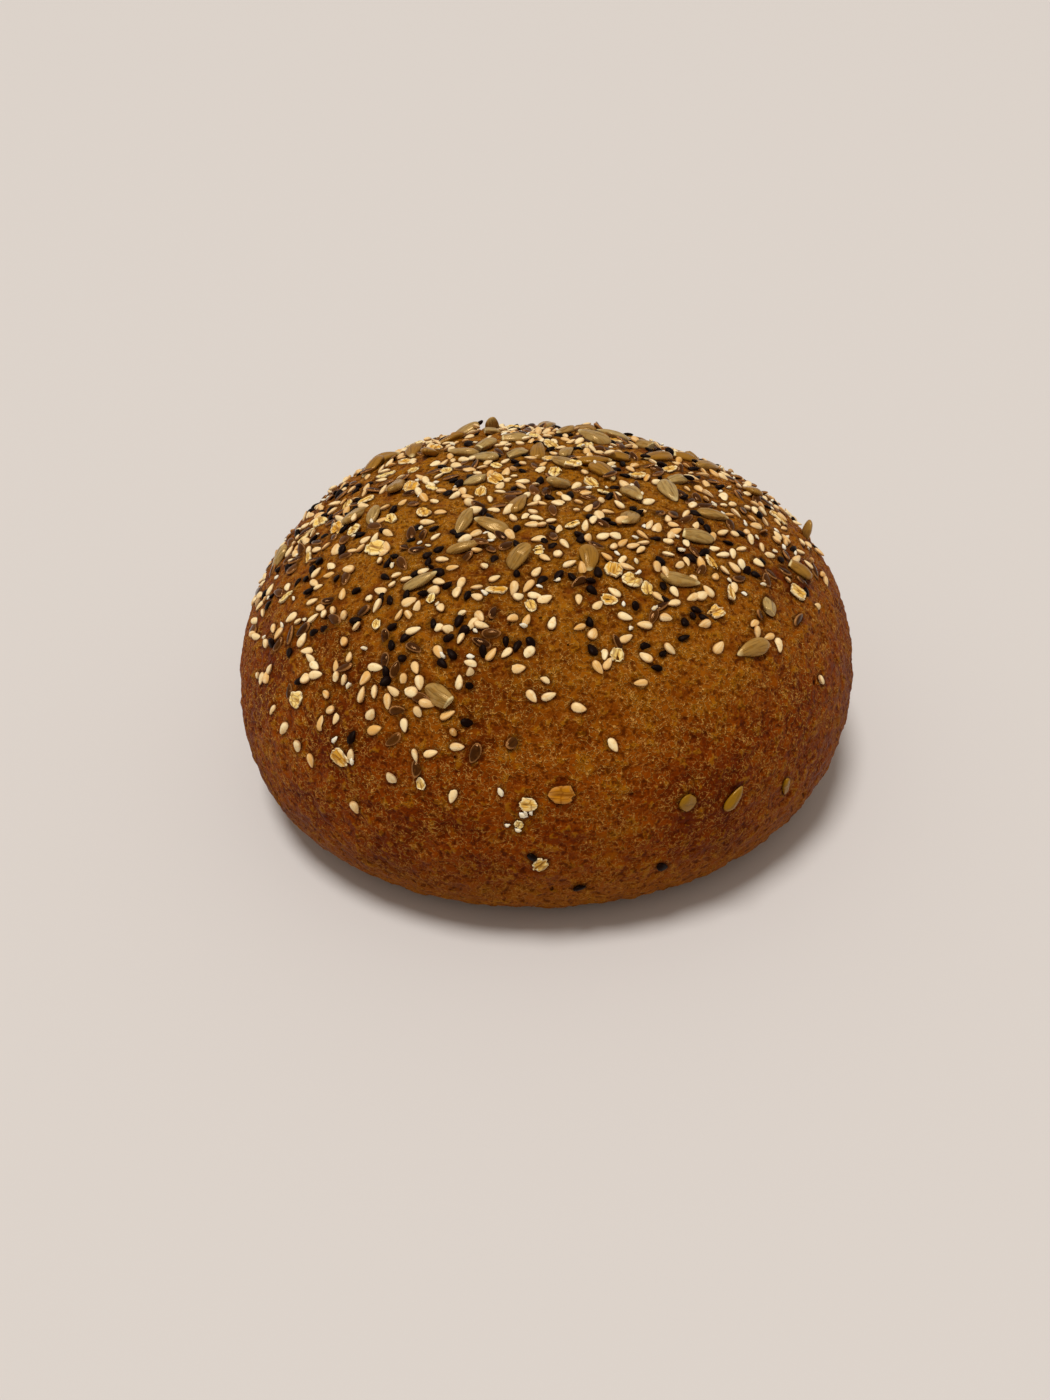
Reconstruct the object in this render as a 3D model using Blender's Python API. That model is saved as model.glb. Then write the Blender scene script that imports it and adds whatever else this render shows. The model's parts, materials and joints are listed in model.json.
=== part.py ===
"""A round whole grain loaf with seeds and oat flakes baked onto its crown.

Metres, +Z up. The origin is the middle of the flat underside, and -Y is the front.
A place on the crust is given by its azimuth round the loaf and its arc, the length
along the crust from the top of the crown.
"""

import bisect
import functools
import math
import random
from typing import NamedTuple

import bmesh
import bpy
from mathutils import Matrix, Vector, noise

MM = 0.001

# The loaf: a domed crown above its widest height and a tucked side below it
GIRTH_RADIUS = 88 * MM
GIRTH_HEIGHT = 24 * MM
LOAF_HEIGHT = 79.5 * MM
FOOT_RADIUS = 72 * MM
CROWN_FULLNESS = 2.18
SHOULDER_FULLNESS = 2.41
TUCK_FULLNESS = 2.07
PROFILE_STEPS = 90

# Waves round the girth: how many, share of the radius, turn
GIRTH_WAVES = ((2, -0.008, 7), (3, 0.013, 2), (4, -0.010, -7))

# Soft swells and hollows that the oven leaves in the crust
SWELL_COUNT = 34
SWELL_WIDTH = (11 * MM, 24 * MM)
SWELL_HEIGHT = 0.9 * MM
SWELL_SEED = 5
FLAT_MARGIN = 22 * MM

# The crease across the front of the crust, below the last seeds
CREASE_AZIMUTH = -88
CREASE_ARC = 83 * MM
CREASE_LENGTH = 17 * MM
CREASE_WIDTH = 4.5 * MM
CREASE_DEPTH = 0.9 * MM

# How far down the crust the sprinkling reaches: azimuth, arc
SPRINKLE_RIM = (
    (-180, 100 * MM),
    (-150, 97 * MM),
    (-120, 103 * MM),
    (-92, 79 * MM),
    (-60, 77 * MM),
    (-20, 86 * MM),
    (40, 92 * MM),
    (180, 100 * MM),
)
SPRINKLE_FADE = 30 * MM
SPRINKLE_SEED = 11
EVENNESS = 0.5
CLUMP_SIZE = 8 * MM
CLUMPING = 1.3
CLOSENESS = 0.32
MOST_TRIES = 60000
SIZE_RANGE = (0.84, 1.12)
WIDTH_RANGE = (0.85, 1.1)

# How much rarer the scattered pieces are at the front, where the large ones are placed
FRONT_THINNING = 0.25
LARGE_THINNING = 1.0

# The share of its point that a piece has lost where it is widest
WIDEST_AT = 0.28

# How far in degrees a piece leans, as a spread
LARGE_ASKEW = 9
SMALL_ASKEW = 16

# How far a piece that lies on others is lifted onto them
PERCH = 0.85
STACK_REACH = 0.5 * MM

CRUST_SEGMENTS = 48
CRUST_RINGS = 24

BREAD_BROWN = (0.23, 0.085, 0.018)
BREAD_ROUGHNESS = 0.42


class Topping(NamedTuple):
    """A kind of seed or flake: its size, how many there are, and how it lies.

    Reach is the share of the way to the sprinkling's rim that it gets, sunk the share of
    its thickness that is in the bread, and point the share by which its tip narrows.
    """

    name: str
    length: float
    width: float
    thickness: float
    count: int
    apart: float
    reach: float
    sunk: float
    point: float
    modelled_every: int


KERNEL = Topping("kernel", 9.8 * MM, 5.0 * MM, 3.0 * MM, 60, 6.5 * MM, 0.74, 0.30, 0.48, 1)
FLAKE = Topping("flake", 6.8 * MM, 4.8 * MM, 1.2 * MM, 60, 6 * MM, 0.84, 0.30, 0.0, 1)
LINSEED = Topping("linseed", 4.8 * MM, 2.5 * MM, 1.2 * MM, 220, 2.4 * MM, 0.96, 0.42, 0.40, 6)
BLACK_SESAME = Topping("black_sesame", 3.3 * MM, 2.3 * MM, 1.2 * MM, 260, 1.9 * MM, 0.96, 0.40, 0.50, 9)
PALE_SESAME = Topping("pale_sesame", 3.7 * MM, 2.3 * MM, 1.2 * MM, 700, 2.1 * MM, 1.0, 0.40, 0.52, 14)
LARGE = (KERNEL, FLAKE)
TOPPINGS = (KERNEL, FLAKE, LINSEED, BLACK_SESAME, PALE_SESAME)


class At(NamedTuple):
    """Where a piece is placed: azimuth, arc in mm, and spin from straight down.

    Size and width are shares of its kind's, and lean is how far its tip dips into the crust.
    """

    azimuth: float
    arc: float
    spin: float
    size: float = 1.0
    width: float = 1.0
    lean: float = 0.0


# The pieces that stand out, each kind from its palest to its most browned
PLACED = {
    KERNEL: (
        (178, 17, 180, 0.85, 0.9), (180, 79, 30, 0.85, 1.1), (-37, 71, -60, 0.85, 0.9),
        (-8, 34, -65), (-126, 50, 140, 0.95, 0.8), (112, 17, 100, 0.85, 1.05),
        (-169, 46, 65, 0.75), (-33, 45, -145, 1.12, 0.9), (-35, 7, 60, 1.0, 0.95),
        (62, 35, 90, 1.1), (105, 50, 0, 0.8, 1.0, 60), (-52, 53, 45, 1.0, 0.85),
        (65, 19, 0, 0.8, 0.9), (-133, 28, 15, 1.03, 0.8), (-44, 30, -70, 0.95, 1.15),
        (-109, 77, 70, 1.05, 0.95), (-118, 26, -90, 1.0, 0.95), (-122, 36, 130, 0.9, 0.8),
        (-100, 38, -35, 1.0, 0.95), (-48, 76, -100, 0.98, 0.8), (4, 79, 0, 0.85, 1.0, 60),
        (25, 54, 10, 1.05), (-112, 15, 180, 0.95), (72, 48, 90, 1.1), (12, 62, 90, 0.9, 1.1),
        (-18, 72, 188, 0.98), (-74, 39, -15, 0.85, 1.2), (148, 57, 90, 1.1),
        (-69, 104, 65, 0.55, 1.5), (-61, 107, 130, 0.72, 0.9), (-49, 113, 5, 0.58, 0.8),
    ),
    FLAKE: (
        (-120, 54, 0, 0.55, 0.9), (-95, 104, -15, 0.48), (158, 46, 46, 1.15, 0.35),
        (-159, 76, -20, 1.1, 0.35), (-179, 29, -40, 0.85, 0.45), (140, 15, 0, 0.6),
        (157, 38, 60, 0.8, 0.6), (-76, 67, -20, 0.78, 0.95), (-137, 89, 95, 0.8, 1.2),
        (-25, 18, -60, 0.75), (-92, 34, 90, 0.6, 1.05), (45, 6, 30, 0.85, 0.9),
        (-129, 64, 40, 0.65, 0.7), (-167, 52, 110, 0.85, 1.1), (-64, 48, -70, 0.95, 1.1),
        (38, 11, 100, 0.95), (-110, 97, 20, 0.62, 0.85), (-94, 52, 20, 0.6),
        (-62, 52, -20, 0.7, 0.9), (180, 69, 37, 1.1, 0.9), (-167, 66, 65, 0.92, 0.45),
        (-94, 99, 82, 0.82, 0.85), (-72, 25, -60, 0.95, 0.6), (7, 26, 40),
        (-157, 17, 55, 0.75, 0.95), (-92, 115, 125, 0.85, 0.85), (17, 37, 0, 0.85),
        (-25, 75, 11, 1.12, 0.95), (-39, 54, -13, 0.9, 0.55), (2, 67, -39, 1.1, 0.6),
        (-43, 63, -39, 0.98, 0.5), (-50, 64, 80, 0.95), (-68, 44, -35, 1.02),
        (-74, 52, 70, 0.82, 0.95), (-103, 48, 95, 0.92, 0.6), (147, 46, 0, 0.85),
        (-125, 96, 70, 0.9), (-88, 97, 85, 1.12, 0.85),
    ),
    LINSEED: ((-102, 88, -15), (-96, 85, 140), (-111, 93, 10)),
    BLACK_SESAME: ((-93, 113, 40), (-73, 121, 60, 1.1), (-86, 124, 90)),
    PALE_SESAME: (
        (-80, 87, 25), (-85, 78, 70), (-105, 98, -10), (-121, 107, 20), (-105, 87, 100),
        (-35, 94, 40),
    ),
}

# Where the sprinkling heaped up or left the crust bare: azimuth, arc and width in mm, share
DRIFTS = (
    (-114, 80, 15, 0.5), (-93, 69, 6, 0.8), (-64, 48, 10, 0.9), (-30, 58, 14, 1.0),
    (-8, 78, 9, 1.0), (-60, 22, 12, 0.9), (-133, 42, 8, 0.9), (-157, 52, 7, 0.8),
    (-175, 66, 10, 0.8), (90, 34, 36, 1.1), (-158, 32, 9, -1.0), (-145, 64, 9, -0.8),
    (-90, 54, 9, -0.6), (-125, 62, 8, -0.5), (-10, 34, 6, -0.5), (150, 40, 7, -0.7),
    (-70, 65, 10, 1.3),
)


class Lain(NamedTuple):
    """One seed or flake as it lies: spin turns it about the crust's normal."""

    topping: Topping
    azimuth: float
    arc: float
    spin: float
    tilt: float
    roll: float
    size: float
    width: float
    rise: float
    stacked: bool


def clear_scene():
    """Removes whatever the scene holds."""
    for obj in list(bpy.data.objects):
        bpy.data.objects.remove(obj)


def fullness_curve(angle, fullness):
    """The two sides of a superellipse's quarter at this angle."""
    share = 2 / fullness
    return math.cos(angle) ** share, math.sin(angle) ** share


@functools.cache
def side_profile():
    """The crust's arcs, radii and heights, from the crown's top to the foot's edge."""
    points = []
    for step in range(PROFILE_STEPS + 1):
        angle = math.pi / 2 * (1 - step / PROFILE_STEPS)
        out = fullness_curve(angle, SHOULDER_FULLNESS)[0]
        up = fullness_curve(angle, CROWN_FULLNESS)[1]
        points.append((GIRTH_RADIUS * out, GIRTH_HEIGHT + (LOAF_HEIGHT - GIRTH_HEIGHT) * up))
    for step in range(1, PROFILE_STEPS + 1):
        out, down = fullness_curve(math.pi / 2 * step / PROFILE_STEPS, TUCK_FULLNESS)
        points.append((FOOT_RADIUS + (GIRTH_RADIUS - FOOT_RADIUS) * out, GIRTH_HEIGHT * (1 - down)))
    arcs = [0.0]
    for before, after in zip(points, points[1:]):
        arcs.append(arcs[-1] + math.dist(before, after))
    return arcs, points


def full_arc():
    """The length of the crust from the crown's top to the foot's edge."""
    return side_profile()[0][-1]


def smooth_point(azimuth, arc):
    """A point of the crust before its swells."""
    arcs, points = side_profile()
    after = min(max(bisect.bisect(arcs, arc), 1), len(arcs) - 1)
    share = (arc - arcs[after - 1]) / (arcs[after] - arcs[after - 1])
    radius = points[after - 1][0] + share * (points[after][0] - points[after - 1][0])
    height = points[after - 1][1] + share * (points[after][1] - points[after - 1][1])
    for count, depth, turn in GIRTH_WAVES:
        radius *= 1 + depth * math.cos(count * azimuth - count * math.radians(turn))
    return Vector((radius * math.cos(azimuth), radius * math.sin(azimuth), height))


def outward(azimuth, arc, surface):
    """The outward normal of a surface that takes an azimuth and an arc."""
    step = 0.5 * MM
    arc = max(arc, step)
    reach = max(smooth_point(azimuth, arc).xy.length, step)
    downhill = surface(azimuth, arc + step) - surface(azimuth, arc - step)
    around = surface(azimuth + step / reach, arc) - surface(azimuth - step / reach, arc)
    return downhill.cross(around).normalized()


@functools.cache
def swells():
    """Each swell's middle, width and height."""
    draw = random.Random(SWELL_SEED)
    found = []
    for _ in range(SWELL_COUNT):
        middle = smooth_point(draw.uniform(-math.pi, math.pi), full_arc() * math.sqrt(draw.random()))
        height = SWELL_HEIGHT * draw.uniform(-1, 1)
        found.append((middle, draw.uniform(*SWELL_WIDTH), height))
    return found


def crust_point(azimuth, arc):
    """A point of the crust, swells and crease included."""
    point = smooth_point(azimuth, arc)
    lift = sum(
        height * math.exp(-((point - middle).length / width) ** 2)
        for middle, width, height in swells()
    )
    along = (azimuth - math.radians(CREASE_AZIMUTH)) * point.xy.length
    across = arc - CREASE_ARC
    lift -= CREASE_DEPTH * math.exp(-((along / CREASE_LENGTH) ** 2) - (across / CREASE_WIDTH) ** 2)
    settle = min(1.0, (full_arc() - arc) / FLAT_MARGIN)
    return point + outward(azimuth, arc, smooth_point) * (lift * settle)


def rim_arc(azimuth):
    """How far down the crust the sprinkling reaches at this azimuth."""
    degrees = math.degrees(azimuth)
    for (low, near), (high, far) in zip(SPRINKLE_RIM, SPRINKLE_RIM[1:]):
        if degrees <= high:
            share = (1 - math.cos(math.pi * (degrees - low) / (high - low))) / 2
            return near + share * (far - near)
    return SPRINKLE_RIM[-1][1]


@functools.cache
def drifts():
    """Each drift's middle, width and share."""
    return [
        (smooth_point(math.radians(azimuth), arc * MM), width * MM, share)
        for azimuth, arc, width, share in DRIFTS
    ]


def chance(topping, azimuth, arc):
    """How likely a piece of this kind is to stay where it falls."""
    depth = min(1.0, max(0.0, rim_arc(azimuth) * topping.reach - arc) / SPRINKLE_FADE)
    if not depth:
        return 0.0
    thinning = LARGE_THINNING if topping in LARGE else FRONT_THINNING
    thinned = 1 - thinning * (1 - math.sin(azimuth)) / 2
    spot = smooth_point(azimuth, arc)
    heaped = 1 + sum(
        share * math.exp(-((spot - middle).length / width) ** 2)
        for middle, width, share in drifts()
    )
    clump = 1 + CLUMPING * noise.noise(spot / CLUMP_SIZE)
    return EVENNESS * depth * thinned * heaped * clump


def lift_of(piece):
    """How far a piece's middle stands off the crust."""
    return piece.topping.thickness * piece.size * (0.5 - piece.topping.sunk) + piece.rise


def resting_place(piece):
    """The matrix that lays a piece on the crust."""
    normal = outward(piece.azimuth, piece.arc, crust_point)
    downhill = crust_point(piece.azimuth, piece.arc + MM) - crust_point(piece.azimuth, piece.arc)
    along = (downhill - normal * downhill.dot(normal)).normalized()
    across = normal.cross(along)
    turned = Matrix((along, across, normal)).transposed()
    turned @= Matrix.Rotation(piece.spin, 3, "Z") @ Matrix.Rotation(piece.tilt, 3, "Y")
    turned @= Matrix.Rotation(piece.roll, 3, "X")
    place = crust_point(piece.azimuth, piece.arc) + normal * lift_of(piece)
    scaled = Matrix.Diagonal((piece.size, piece.size * piece.width, piece.size, 1))
    return Matrix.Translation(place) @ turned.to_4x4() @ scaled


def narrowing(topping, along):
    """A piece's width and thickness as a share of their most, at this share of its length."""
    left = 1 - topping.point * max(0.0, along + 0.5) ** 1.5
    return left / (1 - WIDEST_AT * topping.point)


def rise_over(spot, normal, pile, reach):
    """How high the pieces of a pile within reach of this spot stand, or nothing."""
    rise = 0.0
    for piece, back in pile:
        kind = piece.topping
        local = back @ spot
        if local.length > kind.length:
            continue
        share = narrowing(kind, local.x / kind.length)
        wide = kind.width / 2 * share + reach
        shrink = Matrix.Diagonal((kind.length / 2 + reach, wide, kind.thickness / 2 * share))
        start = shrink.inverted() @ local
        way = shrink.inverted() @ back.to_3x3() @ normal
        middle = -start.dot(way) / way.length_squared
        spread = middle**2 - (start.length_squared - 1) / way.length_squared
        if spread > 0:
            rise = max(rise, PERCH * (middle + math.sqrt(spread)))
    return rise


class Sprinkling:
    """Seeds and flakes laid on the crust one by one, the largest kinds first."""

    def __init__(self):
        self.draw = random.Random(SPRINKLE_SEED)
        self.lain = []
        self.spots = []
        self.large = []
        self.small = []
        for topping in TOPPINGS:
            self.place(topping)
            self.scatter(topping)

    def place(self, topping):
        """Lays the pieces of this kind that have a place of their own."""
        for row in PLACED.get(topping, ()):
            at = At(*row)
            azimuth, spin, lean = (math.radians(turn) for turn in (at.azimuth, at.spin, at.lean))
            self.lay(topping, azimuth, at.arc * MM, spin, at.size, at.width, lean)

    def scatter(self, topping):
        """Lays the rest of this kind, each where there is room and the rule allows it."""
        left = topping.count - len(PLACED.get(topping, ()))
        reach = max(arc for _, arc in SPRINKLE_RIM)
        for _ in range(MOST_TRIES):
            if not left:
                break
            azimuth = self.draw.uniform(-math.pi, math.pi)
            arc = reach * math.sqrt(self.draw.random())
            stays = self.draw.random() < chance(topping, azimuth, arc)
            if stays and self.has_room(topping, azimuth, arc):
                spin = self.draw.uniform(-math.pi, math.pi)
                size = self.draw.uniform(*SIZE_RANGE)
                self.lay(topping, azimuth, arc, spin, size, self.draw.uniform(*WIDTH_RANGE))
                left -= 1

    def has_room(self, topping, azimuth, arc):
        """Whether a piece here would be clear enough of the others."""
        spot = smooth_point(azimuth, arc)
        for other, kind in self.spots:
            spread = (topping.length + topping.width + kind.length + kind.width) / 2
            least = topping.apart if kind is topping else CLOSENESS * spread
            if (spot - other).length < least:
                return False
        return True

    def lay(self, topping, azimuth, arc, spin, size, width, lean=0.0):
        """Lays one piece, a little askew, on the crust or on what lies flat there already."""
        askew = math.radians(LARGE_ASKEW if topping in LARGE else SMALL_ASKEW)
        tilt = lean + self.draw.gauss(0, askew)
        roll = self.draw.gauss(0, askew)
        spot = crust_point(azimuth, arc)
        normal = outward(azimuth, arc, crust_point)
        firm = rise_over(spot, normal, self.large, 0.0)
        rise = max(firm, rise_over(spot, normal, self.small, STACK_REACH))
        piece = Lain(topping, azimuth, arc, spin, tilt, roll, size, width, rise, rise > firm)
        self.lain.append(piece)
        self.spots.append((smooth_point(azimuth, arc), topping))
        if not lean:
            pile = self.large if topping in LARGE else self.small
            pile.append((piece, resting_place(piece).inverted()))


def crust_mesh():
    """The bread alone: a sphere's vertices carried to the crust, ring by ring."""
    bread = bmesh.new()
    bmesh.ops.create_uvsphere(bread, u_segments=CRUST_SEGMENTS, v_segments=CRUST_RINGS, radius=1)
    last_ring = CRUST_RINGS - 1
    for vert in bread.verts:
        ring = round(math.acos(max(-1.0, min(1.0, vert.co.z))) / math.pi * CRUST_RINGS)
        azimuth = math.atan2(vert.co.y, vert.co.x)
        if ring > last_ring:
            vert.co = Vector((0, 0, 0))
        else:
            vert.co = crust_point(azimuth, full_arc() * ring / last_ring)
    return bread


def kernel_shape(topping):
    """A hulled sunflower kernel: a plump drop."""
    return drop_shape(topping, segments=6, rings=4)


def seed_shape(topping):
    """A sesame or linseed: a flat drop."""
    return drop_shape(topping, segments=5, rings=3)


def drop_shape(topping, segments, rings):
    """A drop that lies along X: a sphere, narrowed towards its tip."""
    seed = bmesh.new()
    bmesh.ops.create_uvsphere(seed, u_segments=segments, v_segments=rings, radius=0.5)
    bmesh.ops.rotate(seed, verts=seed.verts, matrix=Matrix.Rotation(math.pi / 2, 3, "Y"))
    for vert in seed.verts:
        share = narrowing(topping, vert.co.x)
        vert.co.x *= topping.length
        vert.co.y *= topping.width * share
        vert.co.z *= topping.thickness * share
    return seed


def flake_shape(topping):
    """A rolled oat: a thin oval plate."""
    flake = bmesh.new()
    bmesh.ops.create_cone(flake, cap_ends=True, segments=6, radius1=0.5, radius2=0.44, depth=1)
    size = (topping.length, topping.width, topping.thickness)
    bmesh.ops.scale(flake, verts=flake.verts, vec=size)
    return flake


SHAPES = {
    KERNEL: kernel_shape,
    FLAKE: flake_shape,
    LINSEED: seed_shape,
    PALE_SESAME: seed_shape,
    BLACK_SESAME: seed_shape,
}


def object_of(name, shape, collection):
    """A mesh object made from a bmesh, which is freed."""
    mesh = bpy.data.meshes.new(name)
    shape.to_mesh(mesh)
    shape.free()
    obj = bpy.data.objects.new(name, mesh)
    collection.objects.link(obj)
    return obj


def new_collection(name):
    """A collection in the scene."""
    collection = bpy.data.collections.new(name)
    bpy.context.scene.collection.children.link(collection)
    return collection


def modelled(lain):
    """The pieces to model: every kernel and flake, and an even share of the smaller kinds.

    A piece that lies on smaller ones is left out, because those may not be modelled.
    """
    chosen = []
    for topping in TOPPINGS:
        of_kind = [piece for piece in lain if piece.topping is topping and not piece.stacked]
        chosen += of_kind[:: topping.modelled_every]
    return chosen


def seed_objects(collection):
    """One object for each modelled seed and flake, where it lies."""
    for number, piece in enumerate(modelled(Sprinkling().lain)):
        shape = SHAPES[piece.topping](piece.topping)
        shape.transform(resting_place(piece))
        object_of(f"{piece.topping.name}_{number}", shape, collection)


def bread_material():
    """Glazed brown crust."""
    material = bpy.data.materials.new("glazed_crust")
    material.use_nodes = True
    shader = material.node_tree.nodes["Principled BSDF"]
    shader.inputs["Base Color"].default_value = (*BREAD_BROWN, 1)
    shader.inputs["Roughness"].default_value = BREAD_ROUGHNESS
    shader.inputs["Metallic"].default_value = 0
    return material


def fuse(bread, collection):
    """Joins a collection's pieces to the bread, and removes them."""
    union = bread.modifiers.new("baked_on", "BOOLEAN")
    union.operation = "UNION"
    union.operand_type = "COLLECTION"
    union.collection = collection
    union.solver = "MANIFOLD"
    graph = bpy.context.evaluated_depsgraph_get()
    fused = bpy.data.meshes.new_from_object(bread.evaluated_get(graph))
    bread.modifiers.clear()
    bread.data = fused
    for obj in list(collection.objects):
        bpy.data.objects.remove(obj)
    bpy.data.collections.remove(collection)


def build_loaf():
    """The loaf, with its seeds fused to the crust."""
    bread = object_of("loaf", crust_mesh(), new_collection("round_whole_grain_loaf"))
    seeds = new_collection("seeds")
    seed_objects(seeds)
    fuse(bread, seeds)
    bread.data.materials.clear()
    bread.data.materials.append(bread_material())
    bread.data.shade_smooth()
    bread.data.set_sharp_from_angle(angle=math.radians(35))


clear_scene()
build_loaf()
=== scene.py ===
"""The looks of a round whole grain loaf: its glazed crust and what is strewn on it.

The loaf's form and the places of its seeds and flakes repeat the part's own source, in
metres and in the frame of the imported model. The loaf stands on its foot at the origin,
+Z is up and -Y is its front. A place on the crust is given by its azimuth round the loaf
and its arc, the length along the crust from the top of the crown.
"""

from __future__ import annotations

import bisect
import json
import logging
import math
import random
from dataclasses import dataclass, field
from enum import Enum
from functools import cache, cached_property
from typing import Callable

import bmesh
import bpy
from mathutils import Matrix, Vector, noise

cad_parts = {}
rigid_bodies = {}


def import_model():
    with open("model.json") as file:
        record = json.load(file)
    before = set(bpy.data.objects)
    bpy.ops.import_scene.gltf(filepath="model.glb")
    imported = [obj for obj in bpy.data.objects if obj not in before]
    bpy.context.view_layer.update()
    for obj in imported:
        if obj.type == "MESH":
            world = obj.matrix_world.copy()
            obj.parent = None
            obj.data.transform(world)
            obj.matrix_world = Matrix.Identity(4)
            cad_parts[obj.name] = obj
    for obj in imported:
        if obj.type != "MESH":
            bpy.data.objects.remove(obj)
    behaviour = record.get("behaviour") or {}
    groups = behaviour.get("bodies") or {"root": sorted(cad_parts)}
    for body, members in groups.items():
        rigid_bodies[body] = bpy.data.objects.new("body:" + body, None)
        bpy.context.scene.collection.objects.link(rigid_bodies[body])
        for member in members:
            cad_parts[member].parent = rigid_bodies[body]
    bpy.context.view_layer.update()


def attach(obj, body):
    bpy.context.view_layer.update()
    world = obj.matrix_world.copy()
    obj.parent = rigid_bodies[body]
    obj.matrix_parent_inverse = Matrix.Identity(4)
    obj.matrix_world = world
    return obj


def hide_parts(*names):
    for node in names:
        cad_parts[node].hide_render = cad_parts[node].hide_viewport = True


MM = 0.001
LOG = logging.getLogger("loaf")

Surface = Callable[[float, float], Vector]
Range = tuple[float, float]
Node = bpy.types.Node
Socket = bpy.types.NodeSocket

# How strong each finer pattern of a cloud is, as a share of the one before it
CLOUD_ROUGHNESS = 0.6
# How wide the range is from which the variants read their patterns
PATTERN_REACH = 50
# More than the variants of any kind
MOST_VARIANTS = 100
# Past the end of any piece, so that nothing is torn off it
WHOLE = 2.0
# Nearer than this, a point of the crust's cage counts as on a face of the cube
CLOSE = 1e-6


def linear(code: str) -> tuple[float, float, float, float]:
    """Turns an sRGB hex colour into linear light.

    Args:
        code: the colour, such as "#a0522d".

    Returns:
        Its linear red, green and blue, and an alpha of 1.
    """
    shares = [int(code[at : at + 2], 16) / 255 for at in (1, 3, 5)]
    red, green, blue = (
        share / 12.92 if share <= 0.04045 else ((share + 0.055) / 1.055) ** 2.4
        for share in shares
    )
    return (red, green, blue, 1.0)


def out(node: Node, name: str | None = None) -> Socket:
    """A node's output of this name, or its first one that is in use."""
    return next(s for s in node.outputs if s.enabled and name in (None, s.name))


@dataclass(frozen=True)
class Wiring:
    """Adds nodes to one tree, and joins them."""

    tree: bpy.types.NodeTree

    def add(self, kind: str, links: dict | None = None, **settings) -> Node:
        """Adds a node with its settings and links.

        Args:
            kind: the node's type name.
            links: what each input gets, by its name or number: an output, or a value.
            settings: the node's own properties.

        Returns:
            The new node.
        """
        node = self.tree.nodes.new(kind)
        for name, value in settings.items():
            setattr(node, name, value)
        self.feed(node, links or {})
        return node

    def feed(self, node: Node, links: dict) -> None:
        """Gives a node's inputs what they get.

        Args:
            node: the node.
            links: what each input gets, by its name or number: an output, or a value.
        """
        for name, value in links.items():
            if isinstance(name, int):
                socket = node.inputs[name]
            else:
                socket = next(s for s in node.inputs if s.enabled and s.name == name)
            if isinstance(value, Socket):
                self.tree.links.new(value, socket)
            else:
                socket.default_value = value

    def get(self, kind: str, links: dict | None = None, **settings) -> Socket:
        """Adds a node, and gives its first output that is in use."""
        return out(self.add(kind, links, **settings))

    def math(self, operation: str, *values: Socket | float) -> Socket:
        """What a Math node makes of these values, in their order."""
        return self.get("ShaderNodeMath", dict(enumerate(values)), operation=operation)

    def ramp(
        self,
        value: Socket,
        low: float,
        high: Socket | float,
        least: float = 0.0,
        most: float = 1.0,
        **settings,
    ) -> Socket:
        """Turns a value's way from low to high into the way from least to most.

        Args:
            value: the value.
            low: where it starts.
            high: where it ends.
            least: what low gives.
            most: what high gives.
            settings: the node's own properties.

        Returns:
            The result.
        """
        ends = {"From Min": low, "From Max": high, "To Min": least, "To Max": most}
        return self.get("ShaderNodeMapRange", {"Value": value, **ends}, **settings)

    def stored(self, name: str, output: str) -> Socket:
        """A stored attribute of the piece."""
        return out(self.add("ShaderNodeAttribute", attribute_name=name), output)

    def cloud(self, place: Socket, size: float, detail: float = 3.0) -> Socket:
        """A soft random pattern.

        Args:
            place: the coordinates.
            size: how large its patches are, in the coordinates' unit.
            detail: how many finer patterns it carries.

        Returns:
            The pattern, from about 0.3 to 0.7.
        """
        look = {
            "Vector": place, "Scale": 1 / size, "Detail": detail, "Roughness": CLOUD_ROUGHNESS
        }
        return self.get("ShaderNodeTexNoise", look)

    def specks(self, place: Socket, spacing: float, share: float, radius: float) -> Socket:
        """Round specks of many sizes, scattered evenly.

        Args:
            place: the coordinates.
            spacing: how far apart they could be, in metres.
            share: the share of the places that hold one.
            radius: the largest one's radius, as a share of the spacing.

        Returns:
            1 in a speck and 0 outside.
        """
        cells = self.add("ShaderNodeTexVoronoi", {"Vector": place, "Scale": 1 / spacing})
        lot = self.get("ShaderNodeSeparateColor", {"Color": out(cells, "Color")})
        size = self.ramp(lot, 1 - share, 1.0, most=radius)
        inside = self.math("SUBTRACT", size, out(cells, "Distance"))
        soft_edge = radius / 3
        return self.ramp(inside, 0.0, soft_edge)

    def layered(self, colour: str, layers: tuple[tuple, ...]) -> Socket:
        """Lays tints over a colour, one over the other.

        Args:
            colour: the lowest colour, in sRGB hex.
            layers: each tint in sRGB hex, the value that says where it lies, where that
                value starts to show it and shows it fully, and how much of it a full place has.

        Returns:
            The colour.
        """
        mixed = linear(colour)
        for tint, value, low, high, most in layers:
            share = self.ramp(value, low, high, most=most)
            parts = {"Factor": share, "A": mixed, "B": linear(tint)}
            mixed = self.get("ShaderNodeMix", parts, data_type="RGBA")
        return mixed

    def close(self, geometry: Socket, finish: Socket) -> bpy.types.NodeTree:
        """Ends a Geometry Nodes tree with plain mesh in its material.

        Args:
            geometry: the tree's geometry.
            finish: the material.

        Returns:
            The tree.
        """
        real = self.get("GeometryNodeRealizeInstances", {"Geometry": geometry})
        dressed = self.get("GeometryNodeSetMaterial", {"Geometry": real, "Material": finish})
        self.add("NodeGroupOutput", {"Geometry": dressed})
        return self.tree


def new_material(name: str) -> tuple[bpy.types.Material, Wiring, Node]:
    """Starts a material, and gives it with its wiring and its Principled shader."""
    made = bpy.data.materials.new(name)
    made.use_nodes = True
    return made, Wiring(made.node_tree), made.node_tree.nodes["Principled BSDF"]


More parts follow.
